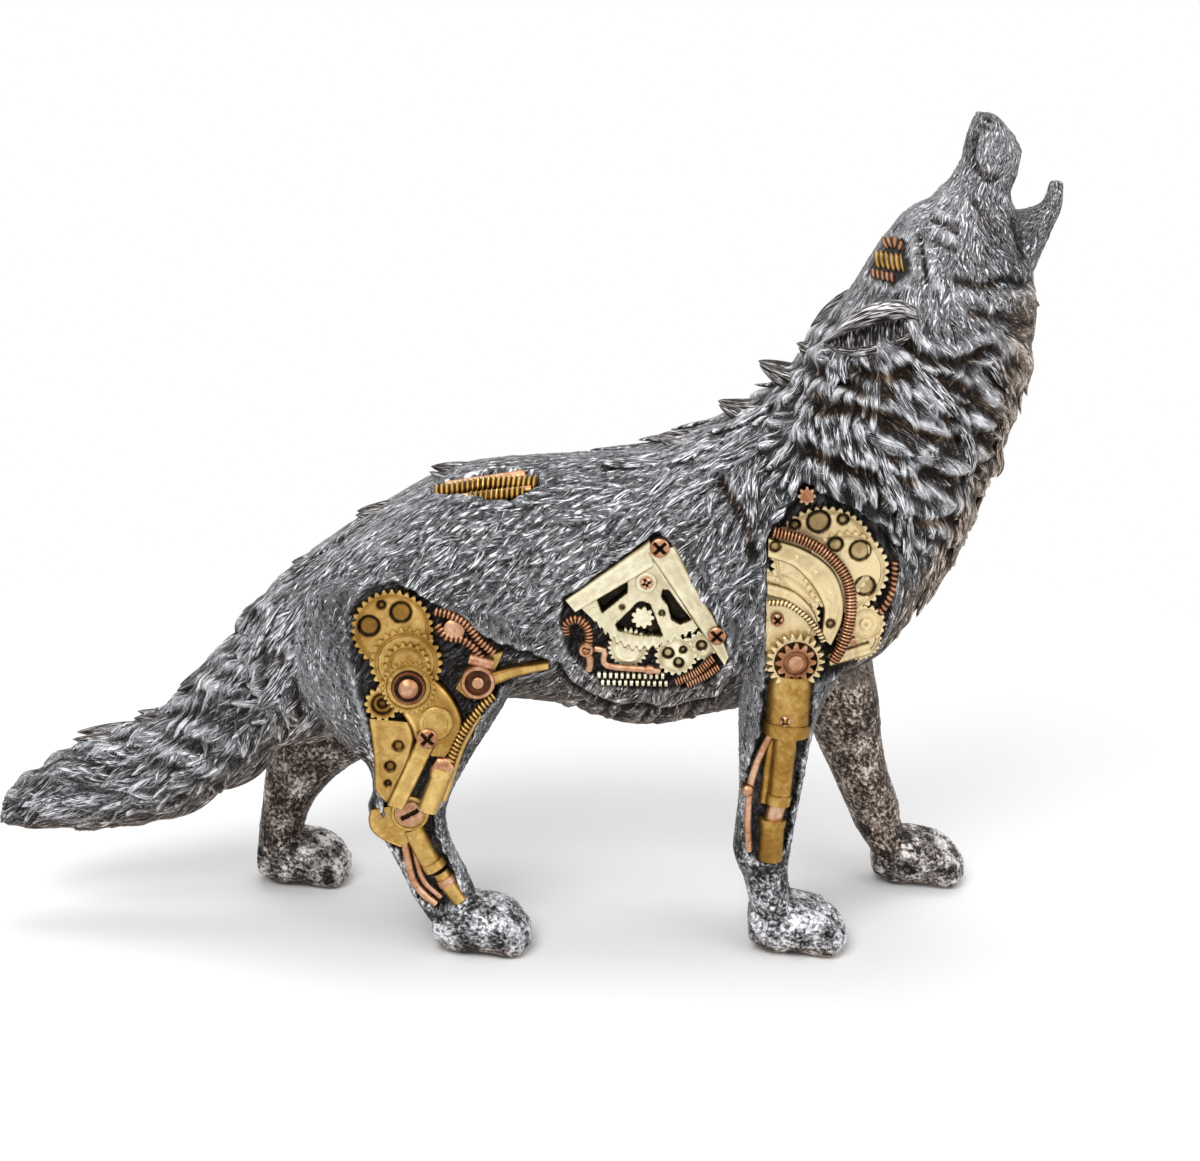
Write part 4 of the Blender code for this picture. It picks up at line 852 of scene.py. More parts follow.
def rod(window, path, radius, pitch=0.0, groove=0.2, sides=18, twist=1):
    """A round bar along a smooth path of (x, z, height).

    With a pitch it is ribbed like a coil: its radius drops by the groove's share with the cosine of the way
    along over the pitch plus the angle round it.
    """
    line, run = smooth_line(path, 500)
    count = max(int(run[-1] / (pitch / 6 if pitch else 1.2)), 4)
    s = np.linspace(0, run[-1], count)
    line = at_lengths(s, run, line)
    ahead = unit(np.gradient(line, axis=0))
    side = unit(np.stack([-ahead[:, 1], ahead[:, 0], np.zeros(count)], 1))
    up = np.cross(ahead, side)
    up *= np.sign(up[:, 2:])
    turns = round_angles(sides)
    wave = np.ones((count, sides))
    if pitch:
        wave = 0.5 - 0.5 * np.cos(2 * np.pi * s[:, None] / pitch + twist * turns)
    size = radius * (1 - groove * (1 - wave**0.7))
    across = side[:, None] * (size * np.cos(turns))[..., None]
    u, v, high = np.moveaxis(line[:, None] + across + up[:, None] * (size * np.sin(turns))[..., None], -1, 0)
    # Coil grooves are darker than the ridges, and the bar is painted lighter on its upper side and darker on
    # its flanks, painted light and shade on the round
    worn = 0.15 + 0.85 * wave if pitch else wave
    clean_and_lit = np.clip(worn * (0.55 + 0.45 * np.sin(turns)) * 1.15, 0, 1)
    return marked(on(window, u, v, high), clean_and_lit, size * turns, s[:, None], radius * 0.7)


def screw(window, u, v, radius, high, slots, flats=0):
    """A domed screw head with its slots."""
    dome = [(radius, ROOT), (radius, high - 0.35), (radius * 0.86, high), (radius * 0.5, high + 0.25)]
    return wheel(window, u, v, dome + [(0.15, high + 0.35)], slots=slots, flats=flats)


def rivet(window, u, v, radius, high):
    """A round rivet head on a plate whose top is at that height."""
    foot = [(radius * 1.5, high - 1), (radius * 1.45, high - 0.05)]
    return wheel(window, u, v, foot + [(radius, high), (radius * 0.8, high + 0.4), (0.1, high + 0.6)])


def pin(window, u, v, radius, high):
    """A plain round pin with a flat top."""
    return wheel(window, u, v, [(radius, ROOT), (radius, high - 0.2), (radius * 0.7, high), (0.2, high)])


def grid_faces(points):
    """The faces of a closed grid: their corners, where each starts, and the corners' places on a flat map.

    Rows run along the grid and columns close round it; one face closes each end. The way round of the faces
    comes from the sign of the grid's volume.
    """
    rows, cols = points.shape[:2]
    index = np.arange(rows * cols).reshape(rows, cols)
    after = np.roll(index, -1, axis=1)
    quads = np.stack([index[:-1], index[1:], after[1:], after[:-1]], -1).reshape(-1, 4)
    flat = points.reshape(-1, 3)
    q = flat[quads] - flat.mean(0)
    inward = (np.cross(q[:, 0], q[:, 1]) * q[:, 2] + np.cross(q[:, 0], q[:, 2]) * q[:, 3]).sum() < 0
    ends = [index[0], index[-1][::-1]]
    u, v = np.arange(cols + 1) / cols, np.arange(rows) / max(rows - 1, 1)
    j = np.tile(np.arange(cols), rows - 1)
    i = np.repeat(np.arange(rows - 1), cols)
    quad_u = np.stack([u[j], u[j], u[j + 1], u[j + 1]], 1)
    quad_v = np.stack([v[i], v[i + 1], v[i + 1], v[i]], 1)
    quad_map = stacked(quad_u, quad_v)
    end_maps = [stacked(u[:-1], 0.0), stacked(u[:-1][::-1], 1.0)]
    if inward:
        quads, quad_map = quads[:, ::-1], quad_map[:, ::-1]
        ends, end_maps = [e[::-1] for e in ends], [m[::-1] for m in end_maps]
    starts = np.concatenate([np.arange(len(quads)) * 4, len(quads) * 4 + np.array([0, cols])])
    places = np.concatenate([quad_map.reshape(-1, 2), *end_maps])
    return np.concatenate([quads.ravel(), *ends]), starts, places


def put(name, grids, paint, crease=0.0):
    """One object from closed grids of points, in metres on the ground, riding on the casting.

    Each grid has its own square of the flat map for the paint.
    """
    coords, corners, starts, maps = [], [], [], []
    marks = {"lock": [], "tone": [], "soft": []}
    base = loops = 0
    across = math.ceil(math.sqrt(len(grids)))
    for k, grid in enumerate(grids):
        corner, start, places = grid_faces(grid["points"])
        corners.append(corner + base)
        starts.append(start + loops)
        maps.append((places * 0.96 + 0.02 + np.array([k % across, k // across])) / across)
        coords.append(grid["points"].reshape(-1, 3))
        for key in marks:
            marks[key].append(grid.get(key, 0 * grid["points"]).reshape(-1, 3))
        base += len(coords[-1])
        loops += len(corner)
    coords = (np.concatenate(coords) - [0, 0, SOLE_LEVEL]) * 0.001
    corners, starts = np.concatenate(corners), np.concatenate(starts)
    mesh = bpy.data.meshes.new(name)
    mesh.vertices.add(len(coords))
    mesh.vertices.foreach_set("co", coords.astype(np.float32).ravel())
    mesh.loops.add(len(corners))
    mesh.loops.foreach_set("vertex_index", corners.astype(np.int32))
    mesh.polygons.add(len(starts))
    mesh.polygons.foreach_set("loop_start", starts.astype(np.int32))
    mesh.update(calc_edges=True)
    mesh.uv_layers.new(name="OFBake").data.foreach_set("uv", np.concatenate(maps).astype(np.float32).ravel())
    for key, parts in marks.items():
        flat = np.concatenate(parts).astype(np.float32).ravel()
        mesh.attributes.new(key, "FLOAT_VECTOR", "POINT").data.foreach_set("vector", flat)
    mesh.polygons.foreach_set("use_smooth", np.ones(len(starts), bool))
    if crease:
        mesh.set_sharp_from_angle(angle=math.radians(crease))
    mesh.materials.append(paint)
    thing = bpy.data.objects.new(name, mesh)
    bpy.context.scene.collection.objects.link(thing)
    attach(thing, "root")
    return thing


def shoulder_works():
    """The shoulder window: large wheels, the curved plate, the knob, and the ribbed pipe round them."""
    w = "shoulder"
    outer = [(72.6, 132.8), (83.4, 128.8), (91.1, 122.6), (94.1, 114.4), (93.8, 107.1), (91.1, 100.5)]
    inner = [(72.6, 127), (79.8, 124.1), (85.6, 117.7), (88.6, 111.8), (88.4, 106), (88.4, 103)]
    rim_out = [(72.6, 119.4), (80, 116.8), (85.4, 111.4), (87.8, 105.5)]
    rim_in = [(72.6, 115.8), (78, 113.6), (82.3, 109.8), (85.6, 104.6)]
    pipe = [(73.6, 134.8, 0.2), (82.5, 132.3, 0.6), (89.9, 127.3, 0.8), (94.8, 120.6, 0.8)]
    pipe += [(96.1, 113.8, 0.7), (95.8, 107.1, 0.6), (94, 100.5, 0.4), (91.8, 96, -0.4)]
    line = [(72.8, 113.8, -0.4), (78.1, 113.3, -0.3), (83, 110, -0.2), (86.8, 105.6, -0.3), (88.8, 102, -0.6)]
    edge = [(108.4, 125, -1.6), (108.2, 117.7, -1.4), (106.3, 112.4, -1.4), (104.6, 109.4, -2.0)]
    large_cuts = [(-1.6, 10.4, 3.3, 0.5), (-8.3, 9.6, 1.6, 0.4), (5.2, 11, 1.6, 0.4)]
    small_cuts = [(3.6, 6.2, 3.0, 0.6), (5.4, -4.3, 2.9, 0.6), (-3.4, 8.2, 2.2, 0.25)]
    cup = [(8.3, ROOT), (8.3, 0.5), (8, 0.8), (6.2, 0.8), (5.9, -0.8), (0.3, -0.8)]
    crown = [(5.9, ROOT), (5.9, 1.0), (5.6, 1.4), (3.6, 1.5), (3.4, 1.0), (2.2, 1.0), (2.1, 1.7), (1.3, 2.0)]
    crown += [(0.2, 1.9)]
    gold = [
        gear(w, 88.2, 126.4, 14.9, 40, -2.2, 1.0, large_cuts),
        gear(w, 94.8, 122.1, 12.2, 32, -1.4, 1.2, small_cuts),
        gear(w, 72.6, 107.9, 15.4, 44, -2.4, 0.9),
        gear(w, 74.5, 107, 12.2, 12, -2.9, 0.2),
        strip(w, outer, inner, -0.6, [(74.4, 130.3, 1.5, 0.15), (90.6, 107.2, 1.2, 0.12)]),
        strip(w, rim_out, rim_in, -1.2, lip=0.2),
        rod(w, line, 1.05, 1.15, 0.26),
        gear(w, 100.9, 106.5, 5.6, 15, -1.5, 0.8, web=0.5, hub=1.6),
        gear(w, 99.2, 101.8, 6.6, 26, -2.6, 0.7),
        strip(w, [(90.5, 97.4), (102, 100.8)], [(91.1, 93.8), (102.6, 97.2)], -1.8),
        wheel(w, 81, 96.1, cup, 22, 1.7),
    ]
    gold += [rivet(w, u, v, 0.75, -0.6) for u, v in ((80.6, 127), (86.1, 122.4), (90.2, 116.2))]
    for piece in gold[2:4]:
        piece["points"][..., 0] = np.maximum(piece["points"][..., 0], 72.4)
    copper = [
        rod(w, pipe, 1.75, 1.0, 0.2, twist=0),
        rod(w, edge, 1.15, 1.5, 0.2),
        gear(w, 83, 144.6, 2.6, 8, -0.9, 0.8, hub=1.1),
        screw(w, 75.7, 108.2, 1.9, -0.9, CROSS_SLOTS),
        wheel(w, 81, 96.1, crown, 12, 1.7),
        pin(w, 96.4, 104.6, 1.2, 0.4), pin(w, 97.2, 101.6, 1.1, 0.2), pin(w, 96.9, 106.9, 0.8, 0.4),
    ]
    return gold, copper


def foreleg_works():
    """The foreleg window: the sleeve and piston down the leg, with a strap behind them."""
    w = "foreleg"
    strap = [(74.6, 73.5, -1.0), (71.1, 65.8, -0.7), (68.9, 56.8, -0.6), (68.5, 46.9, -0.6), (69, 37, -0.9)]
    gold = [
        rod(w, [(80.4, 91.5, -4.0), (79.9, 83, -4.0), (79.4, 75, -4.0)], 6.6, sides=40),
        rod(w, [(79.5, 76.2, -4.0), (79.4, 75, -3.9), (79.3, 73.4, -4.0)], 7.1, sides=40),
        rod(w, [(79.1, 74, -1.2), (77.3, 52, -1.4)], 3.4, sides=26),
        rod(w, [(77.4, 55, -1.2), (77.0, 52, -1.2)], 3.8, sides=26),
        rod(w, [(74.9, 73, -2.4), (73.2, 52, -2.2)], 1.5),
        rod(w, [(75.7, 46.4, -1.2), (75.2, 34.4, -1.4)], 3.7, sides=26),
        rod(w, [(75.8, 47.4, -1.1), (75.7, 45.4, -1.1)], 4.0, sides=26),
    ]
    copper = [
        screw(w, 78.3, 78.6, 1.7, 3.0, CROSS_SLOTS),
        rod(w, [(77.4, 53, -1.5), (75.5, 45, -1.5)], 2.7, sides=22),
        rod(w, strap, 1.1),
        wheel(w, 68.2, 56.6, [(1.9, ROOT), (1.9, 0.6), (1.5, 1.3), (0.8, 1.8), (0.1, 2.0)]),
    ]
    return gold, copper


def haunch_works():
    """The haunch window: wheels at the top, the swinging arm, plates, springs and the piston below."""
    w = "haunch"
    arm_out = [(-31, 95.5), (-24, 92.5), (-17.5, 86.5), (-13.8, 79), (-14.6, 72.5), (-18.6, 67.5)]
    arm_in = [(-35.6, 87), (-31.5, 82), (-28.5, 77), (-27, 73), (-25.5, 70.5), (-22.5, 68)]
    left_out = [(-40.4, 79), (-39.6, 72), (-39, 65), (-38.8, 58), (-36, 54)]
    left_in = [(-28.6, 77.6), (-27.4, 72.5), (-29.4, 65), (-31.5, 60), (-33, 55)]
    bar = [(-25.8, 74.6), (-35.4, 54)], [(-20.8, 72.4), (-30.6, 52.4)]
    coil = [(-21, 110.4, -0.8), (-16, 109.2, -0.1), (-11.6, 106.2, 0), (-8.4, 102, 0), (-4.4, 98.2, -0.4)]
    loop = [(-20.4, 106.6, -1.2), (-17.6, 103.2, -0.6), (-13.4, 102.2, -0.6), (-9.6, 99.2, -1)]
    loop += [(-7, 94.4, -1.6)]
    spring = [(-4.6, 85.6, -1.0), (-8.6, 81.6, -0.6), (-12.4, 76.6, -0.2), (-15.3, 71, -0.2)]
    spring += [(-17.3, 66, -0.5)]
    outer = [(-8.4, 79.5, -1.8), (-13.4, 71, -1.4), (-16.6, 62, -1.4), (-19.4, 54, -1.8)]
    collar = [(7.8, ROOT), (7.8, 0.5), (7.6, 0.8), (6.3, 0.8), (6.1, 0.3), (4.6, 0.3)]
    top_cuts = [(2.4, 5.1, 3.0, 0.6), (-6.6, 1.3, 3.0, 0.6), (-3, 7.4, 1.2, 0.3)]
    plate_cuts = [(-32, 70.7, 1.5, 0.6), (-34.4, 64.6, 1.5, 0.6), (-35.2, 59.6, 0.9, 0.5)]
    crown = [(5.0, ROOT), (5.0, 1.0), (4.7, 1.5), (4.0, 1.5), (3.8, 1.0), (3.0, 1.0), (2.8, 1.8), (1.6, 2.6)]
    crown += [(0.2, 2.8)]
    cap = [(4.9, ROOT), (4.9, 0.4), (4.6, 0.8), (3.8, 0.8), (3.4, -0.3), (1.8, -0.3), (1.6, 0.9), (1.0, 1.2)]
    cap += [(0.2, 1.2)]
    gold = [
        gear(w, -33, 104.7, 11.7, 32, -1.7, 1.1, top_cuts),
        gear(w, -29.3, 95.2, 10.4, 26, -0.9, 1.2),
        gear(w, -29, 94.8, 6.8, 18, 0.4, 1.1, web=0.6),
        wheel(w, -28.6, 88.6, collar, 30, 0.9),
        gear(w, -36.2, 83.4, 5.2, 14, -0.9, 1.0, [(0, 0, 1.4, 0.5), (0, 0, 3, 0.1)]),
        strip(w, arm_out, arm_in, -0.2, lip=0.35),
        wheel(w, -21.1, 77.8, [(4.9, ROOT), (4.9, 0.7), (4.5, 1.1), (3.6, 1.1), (3.4, 0.8), (0.3, 0.8)]),
        strip(w, left_out, left_in, -1.4, plate_cuts, lip=0.15),
        strip(w, *bar, 0.8, lip=0.25),
        strip(w, [(-6, 92), (2, 93.8), (11, 95)], [(-5, 88.2), (2, 91), (11, 93)], 0.1),
        rod(w, spring, 1.5, 1.25, 0.3),
        rod(w, outer, 0.9),
        rod(w, [(-19.6, 63.2, -1.2), (-22.6, 55, -1.4), (-24, 51.5, -1.5)], 3.0, sides=26),
        rod(w, [(-19.4, 64.4, -1.1), (-20.0, 61.8, -1.1)], 3.5, sides=26),
        strip(w, [(-13, 92), (-8.6, 96.2), (-1.8, 98)], [(-15.5, 87), (-12, 84), (-8, 83.6)], -2.2),
    ]
    copper = [
        wheel(w, -28.6, 88.6, crown),
        screw(w, -23.5, 73.6, 2.9, 1.8, CROSS_SLOTS),
        wheel(w, -9, 89.6, cap),
        rod(w, coil, 1.4, 1.2, 0.22, twist=0), rod(w, loop, 1.5, 1.3, 0.22, twist=0),
        wheel(w, -15.5, 105.2, [(3.0, ROOT), (3.0, 0.2), (2.5, 0.6), (0.2, 0.7)]),
        rod(w, [(-11.4, 96.4, -1.0), (-4.8, 94.6, -0.8)], 1.7),
        screw(w, -19.2, 64.6, 3.3, 1.5, (), 6),
    ]
    return gold, copper


def hock_works():
    """The hock window: the joint's plate and wheel, two rods down the leg and a tendon."""
    w = "hock"
    one = [(-40.8, 50), (-41.4, 47), (-40.6, 43.6), (-37.4, 40.6), (-32.5, 38.4)]
    other = [(-26.4, 53), (-25.6, 50), (-25.2, 47), (-25.6, 44), (-27.4, 41.4)]
    tendon = [(-31.2, 39.8, -1.0), (-30.3, 33.6, -0.8), (-28.9, 27.4, -0.8), (-26.3, 23.4, -0.8)]
    tendon += [(-22.6, 19.8, -1.0)]
    inner = [(-28.6, 38, -1.4), (-27.4, 31.6, -1.2), (-25.4, 26.4, -1.2), (-21, 21.8, -1.4)]
    gold = [
        strip(w, one, other, 0.2, lip=0.2),
        wheel(w, -29.3, 49.2, [(5.6, ROOT), (5.6, 0.8), (5.3, 1.2), (4.6, 1.2), (4.4, 0.8), (0.3, 0.8)]),
        rod(w, [(-28.6, 44, -1.2), (-25.4, 36.4, -1.2), (-22.6, 31.4, -1.4)], 3.1, sides=26),
        rod(w, [(-23.4, 33.4, -1.1), (-22.2, 31.2, -1.1)], 3.5, sides=26),
        rod(w, [(-21, 30, -1.3), (-18.6, 25.6, -1.3), (-15.4, 20.6, -1.4)], 2.4, sides=22),
    ]
    copper = [
        wheel(w, -29.3, 49.2, [(3.9, ROOT), (3.9, 1.4), (3.5, 1.8), (1.6, 2.1), (0.2, 2.2)], slots=(28,)),
        rod(w, tendon, 1.2), rod(w, inner, 0.9),
        rod(w, [(-19.8, 28.2, -1.1), (-18.8, 26.2, -1.1)], 2.8, sides=22),
    ]
    return gold, copper


def ribs_works():
    """The ribs window: the slotted sector plate, the bar, small wheels, and two rows of little ribs."""
    w = "ribs"
    slots = [
        [(25.1, 112.8), (31.4, 117.9), (33.2, 117.9), (33.2, 115.2), (26.3, 109.2)],
        [(30.3, 105.4), (36.3, 111.9), (37.8, 112.3), (39.8, 111.3), (43.2, 102.4), (36.3, 102.7),
         (30.9, 103.9)],
        [(43.5, 115.8), (45, 115.8), (48.4, 111), (51.3, 107.4), (48.4, 106), (46.1, 107.4), (45, 111.6),
         (43.2, 114)],
    ]
    sector = [(20.4, 110.2), (30, 118), (40, 125.4), (45, 119), (53.4, 105)]
    sector_in = [(23.6, 107), (28.3, 101.2), (34.6, 97.6), (41.5, 98), (48.4, 101.4), (52.4, 103.6)]
    bar = [(39.2, 127.2), (45.4, 117.8), (53, 106.2), (61, 94)]
    bar_out = [(46.8, 129.4), (52.4, 118), (58.4, 107.6), (62.2, 97)]
    loop = [(15.9, 102.4, -1.2), (16.2, 105.9, -0.6), (19.1, 107.2, -0.3), (21.7, 105.2, -0.3)]
    loop += [(22.5, 101.5, -0.3), (21.8, 98.1, -0.5)]
    hook = [(24.2, 98.3, -0.8), (26.9, 97.7, -0.6), (26.6, 94.6, -0.6), (28.9, 93, -0.6), (38.6, 92.3, -0.6)]
    hook += [(42.7, 91.6, -1.2)]
    holes = [(43.2, 109.1, 0.8, 0.8), (31.9, 110.8, 0.7, 0.4)]
    gear_cuts = [(-2.2, 0.6, 1.6, 0.9), (2.0, 1.6, 1.0, 0.9), (0.8, -2.2, 1.4, 0.9)]
    gold = [
        strip(w, sector, sector_in, -1.2, holes, lip=0.12, cell=0.36, openings=slots, teeth=2.3),
        strip(w, [(15.8, 113), (39.6, 130.6)], [(18.8, 109.2), (40.6, 123)], -0.3, lip=0.15),
        strip(w, bar, bar_out, 0.3, lip=0.12),
        gear(w, 33.7, 98.2, 6.0, 22, -2.0, 1.0, web=0.3),
        wheel(w, 37.8, 107.2, [(3.4, ROOT), (3.4, -2.9), (3.2, -2.6), (0.3, -2.6)], 9, 0.9),
        gear(w, 47.3, 96.3, 6.2, 18, -1.6, 1.0, gear_cuts),
        gear(w, 54.6, 99.2, 4.6, 14, -2.0, 0.9, [(0, 0, 1.4, 0.7)]),
        wheel(w, 38.7, 118.3, [(3.1, ROOT), (3.1, -0.9), (2.8, -0.6), (0.3, -0.6)]),
    ]
    for first, v, high, radius in ((25, 90, -1.9, 1.1), (26, 87.6, -2.1, 1.0)):
        for u in first + 1.65 * np.arange(12):
            gold.append(rod(w, [(u, v, high), (u + 0.8, v, high)], radius, sides=10))
    copper = [
        rod(w, loop, 1.45, 1.0, 0.16, twist=0), rod(w, hook, 0.95),
        wheel(w, 21.7, 98.1, [(2.1, ROOT), (2.1, 0.6), (1.8, 1.0), (1.3, 1.0), (1.1, 0.2), (0.2, 0.2)]),
        rod(w, [(22, 97, -0.8), (22.9, 94.6, -1.0), (22.4, 91.6, -1.6)], 1.2),
        rod(w, [(38.9, 92.4, -0.5), (40.7, 92.2, -0.5)], 1.5),
        rod(w, [(47.4, 88.2, -1.6), (53, 91.4, -1.2), (58, 96, -1.0)], 1.35, 0.85, 0.22),
        rod(w, [(50.6, 87.6, -1.8), (55.3, 90.2, -1.4), (59.6, 93.4, -1.2)], 1.35, 0.85, 0.22),
        screw(w, 42.4, 128.9, 2.8, 1.2, CROSS_SLOTS), screw(w, 38.7, 118.3, 1.9, 0.2, (20, 110)),
        screw(w, 58.7, 103.2, 2.6, 1.6, CROSS_SLOTS),
    ]
    return gold, copper


def head_works():
    """The small window on the neck behind the jaw: three ribbed pipes."""
    w = "head"
    gold = [rod(w, [(103.4, 205.6, -3.6), (110.0, 206.2, -2.4)], 2.3, 1.2, 0.3, twist=0)]
    copper = [
        rod(w, [(105.6, 210.0, -3.4), (108, 210.8, -2.8), (110.4, 210.2, -2.6)], 1.5, 1.2, 0.25, twist=0),
        rod(w, [(102.2, 201.8, -3.4), (107.6, 202, -2.6)], 1.3, 1.1, 0.3, twist=0),
    ]
    return gold, copper


def back_works():
    """The window on the back, seen from above: two ribbed pipes and two plain rods."""
    w = "back"
    gold = [
        rod(w, [(-22, -12, -1.4), (-6, -12.6, -1.0), (8, -15.4, -1.4)], 2.2, 1.5, 0.35, twist=0),
        rod(w, [(-12, -17.4, -1.4), (4, -18.6, -1.4)], 2.0, 1.5, 0.35, twist=0),
    ]
    copper = [
        rod(w, [(-19, -9, -1.8), (4, -9.6, -1.8)], 1.3),
        rod(w, [(-19, -15, -1.8), (6, -17, -1.6)], 0.9),
    ]
    return gold, copper


def values(tree, kind, **inputs):
    """A shader node with its plain input values set by their names."""
    node = tree.nodes.new(kind)
    for name, value in inputs.items():
        node.inputs[name.replace("_", " ")].default_value = value
    return node


def feed(tree, source, socket):
    """Links a source to a socket, or sets the socket to it when it is a number or a colour."""
    if isinstance(source, bpy.types.NodeSocket):
        tree.links.new(source, socket)
    else:
        socket.default_value = source


def maths(tree, operation, *sources):
    """A maths node over its sources."""
    node = tree.nodes.new("ShaderNodeMath")
    node.operation = operation
    for source, socket in zip(sources, node.inputs):
        feed(tree, source, socket)
    return node.outputs[0]


def mark(tree, name, output):
    """One of the marks that put writes on the points of a piece."""
    node = tree.nodes.new("ShaderNodeAttribute")
    node.attribute_name = name
    return node.outputs[output]


def worn_group():
    """One shared effect: fine streaks that follow the piece's own marks, with the marks themselves."""
    tree = bpy.data.node_groups.new("brushed streaks", "ShaderNodeTree")
    for name in ("Across", "Along"):
        tree.interface.new_socket(name, in_out="INPUT", socket_type="NodeSocketFloat")
    for name in ("Streaks", "Clean and lit", "Recess", "Warm"):
        tree.interface.new_socket(name, in_out="OUTPUT", socket_type="NodeSocketFloat")
    enter, leave = tree.nodes.new("NodeGroupInput"), tree.nodes.new("NodeGroupOutput")
    lock, tone = tree.nodes.new("ShaderNodeSeparateXYZ"), tree.nodes.new("ShaderNodeSeparateXYZ")
    feed(tree, mark(tree, "lock", "Vector"), lock.inputs[0])
    feed(tree, mark(tree, "tone", "Vector"), tone.inputs[0])
    join = tree.nodes.new("ShaderNodeCombineXYZ")
    for k, scale in enumerate((enter.outputs["Across"], enter.outputs["Along"], LOCKS_APART)):
        feed(tree, maths(tree, "MULTIPLY", lock.outputs[k], scale), join.inputs[k])
    noise = values(tree, "ShaderNodeTexNoise", Scale=1.0, Detail=2.0, Roughness=0.55, Distortion=0.6)
    feed(tree, join.outputs[0], noise.inputs["Vector"])
    calm = tree.nodes.new("ShaderNodeMix")
    for k, source in enumerate((mark(tree, "soft", "Fac"), None, noise.outputs["Fac"], 0.5)):
        if source is not None:
            feed(tree, source, calm.inputs[k])
    feed(tree, calm.outputs[0], leave.inputs["Streaks"])
    # The first of these marks is the paint's brightness, which carries painted light and shade
    for k, name in enumerate(("Clean and lit", "Recess", "Warm")):
        feed(tree, tone.outputs[k], leave.inputs[name])
    return tree


def ramp(tree, source, stops):
    """A colour ramp over the source, with stops of (place, screen colour out of 255)."""
    node = tree.nodes.new("ShaderNodeValToRGB")
    while len(node.color_ramp.elements) < len(stops):
        node.color_ramp.elements.new(0.5)
    for stop, (place, colour) in zip(node.color_ramp.elements, stops):
        stop.position = place
        stop.color = (*[((c / 255 + 0.055) / 1.055) ** 2.4 if c > 10 else c / 255 / 12.92 for c in colour], 1)
    tree.links.new(source, node.inputs[0])
    return node.outputs[0]


def sum_of(tree, *terms):
    """The sum of source times weight over the terms."""
    total = 0.0
    for source, weight in terms:
        total = maths(tree, "MULTIPLY_ADD", source, weight, total)
    return total


def mixed(tree, share, one, other):
    """A colour between one and the other by the share."""
    node = tree.nodes.new("ShaderNodeMix")
    node.data_type = "RGBA"
    for source, socket in ((share, 0), (one, 6), (other, 7)):
        feed(tree, source, node.inputs[socket])
    return node.outputs[2]


def paint(name, streaks, stops, across, along, mix, metallic, roughness, bump, warm=None):
    """A dark wash, painted light and shade, and brushed metal paint: a ramp over streaks, relief and a soft
    cloud.
    """
    made = bpy.data.materials.new(name)
    made.use_nodes = True
    tree = made.node_tree
    shader = tree.nodes["Principled BSDF"]
    group = tree.nodes.new("ShaderNodeGroup")
    group.node_tree = streaks
    group.inputs["Across"].default_value, group.inputs["Along"].default_value = across, along
    place = tree.nodes.new("ShaderNodeTexCoord")
    cloud = values(tree, "ShaderNodeTexNoise", Scale=mix["cloud_scale"], Detail=4.0, Roughness=0.6)
    tree.links.new(place.outputs["Object"], cloud.inputs["Vector"])
    level = sum_of(tree, (group.outputs["Streaks"], mix["streaks"]), (group.outputs["Clean and lit"], mix["clean_and_lit"]),
                   (cloud.outputs["Fac"], mix["cloud"]), (1.0, mix["level"]))
    colour = ramp(tree, level, stops)
    if warm:
        colour = mixed(tree, group.outputs["Warm"], colour, ramp(tree, level, warm))
    colour = mixed(tree, group.outputs["Recess"], colour, RECESS_COLOUR)
    tree.links.new(colour, shader.inputs["Base Color"])
    shader.inputs["Metallic"].default_value = metallic
    shader.inputs["Roughness"].default_value = roughness
    shader.inputs["Specular IOR Level"].default_value = 0.3
    relief = values(tree, "ShaderNodeBump", Strength=bump, Distance=0.0006)
    height = sum_of(tree, (group.outputs["Streaks"], 1.0), (cloud.outputs["Fac"], 0.3))
    tree.links.new(height, relief.inputs["Height"])
    tree.links.new(relief.outputs["Normal"], shader.inputs["Normal"])
    return made


streaks = worn_group()
silver = paint(
    "silver dry-brushed over black", streaks,
    [(0.18, (6, 6, 7)), (0.40, (42, 41, 43)), (0.60, (136, 136, 139)), (0.84, (232, 233, 237))],
    2.5, 0.28, {"streaks": 2.1, "clean_and_lit": 0.6, "cloud": 0.35, "cloud_scale": 45.0, "level": -1.02},
    metallic=0.4, roughness=0.5, bump=0.9,
    warm=[(0.18, (12, 7, 3)), (0.42, (62, 42, 24)), (0.62, (138, 108, 76)), (0.84, (214, 198, 174))],
)
gold_paint = paint(
    "aged gold paint", streaks,
    [(0.20, (24, 19, 11)), (0.42, (98, 84, 52)), (0.64, (176, 162, 126)), (0.90, (238, 230, 200))],
    0.5, 0.5, {"streaks": 0.3, "clean_and_lit": 0.62, "cloud": 0.6, "cloud_scale": 45.0, "level": -0.28},
    metallic=0.75, roughness=0.33, bump=0.1,
    warm=[(0.20, (22, 13, 4)), (0.42, (88, 60, 20)), (0.64, (150, 112, 48)), (0.90, (222, 188, 118))],
)
copper_paint = paint(
    "aged copper paint", streaks,
    [(0.20, (28, 14, 7)), (0.42, (100, 60, 36)), (0.64, (166, 116, 82)), (0.88, (232, 200, 170))],
    0.5, 0.5, {"streaks": 0.3, "clean_and_lit": 0.62, "cloud": 0.45, "cloud_scale": 70.0, "level": -0.3},
    metallic=0.72, roughness=0.36, bump=0.12,
)


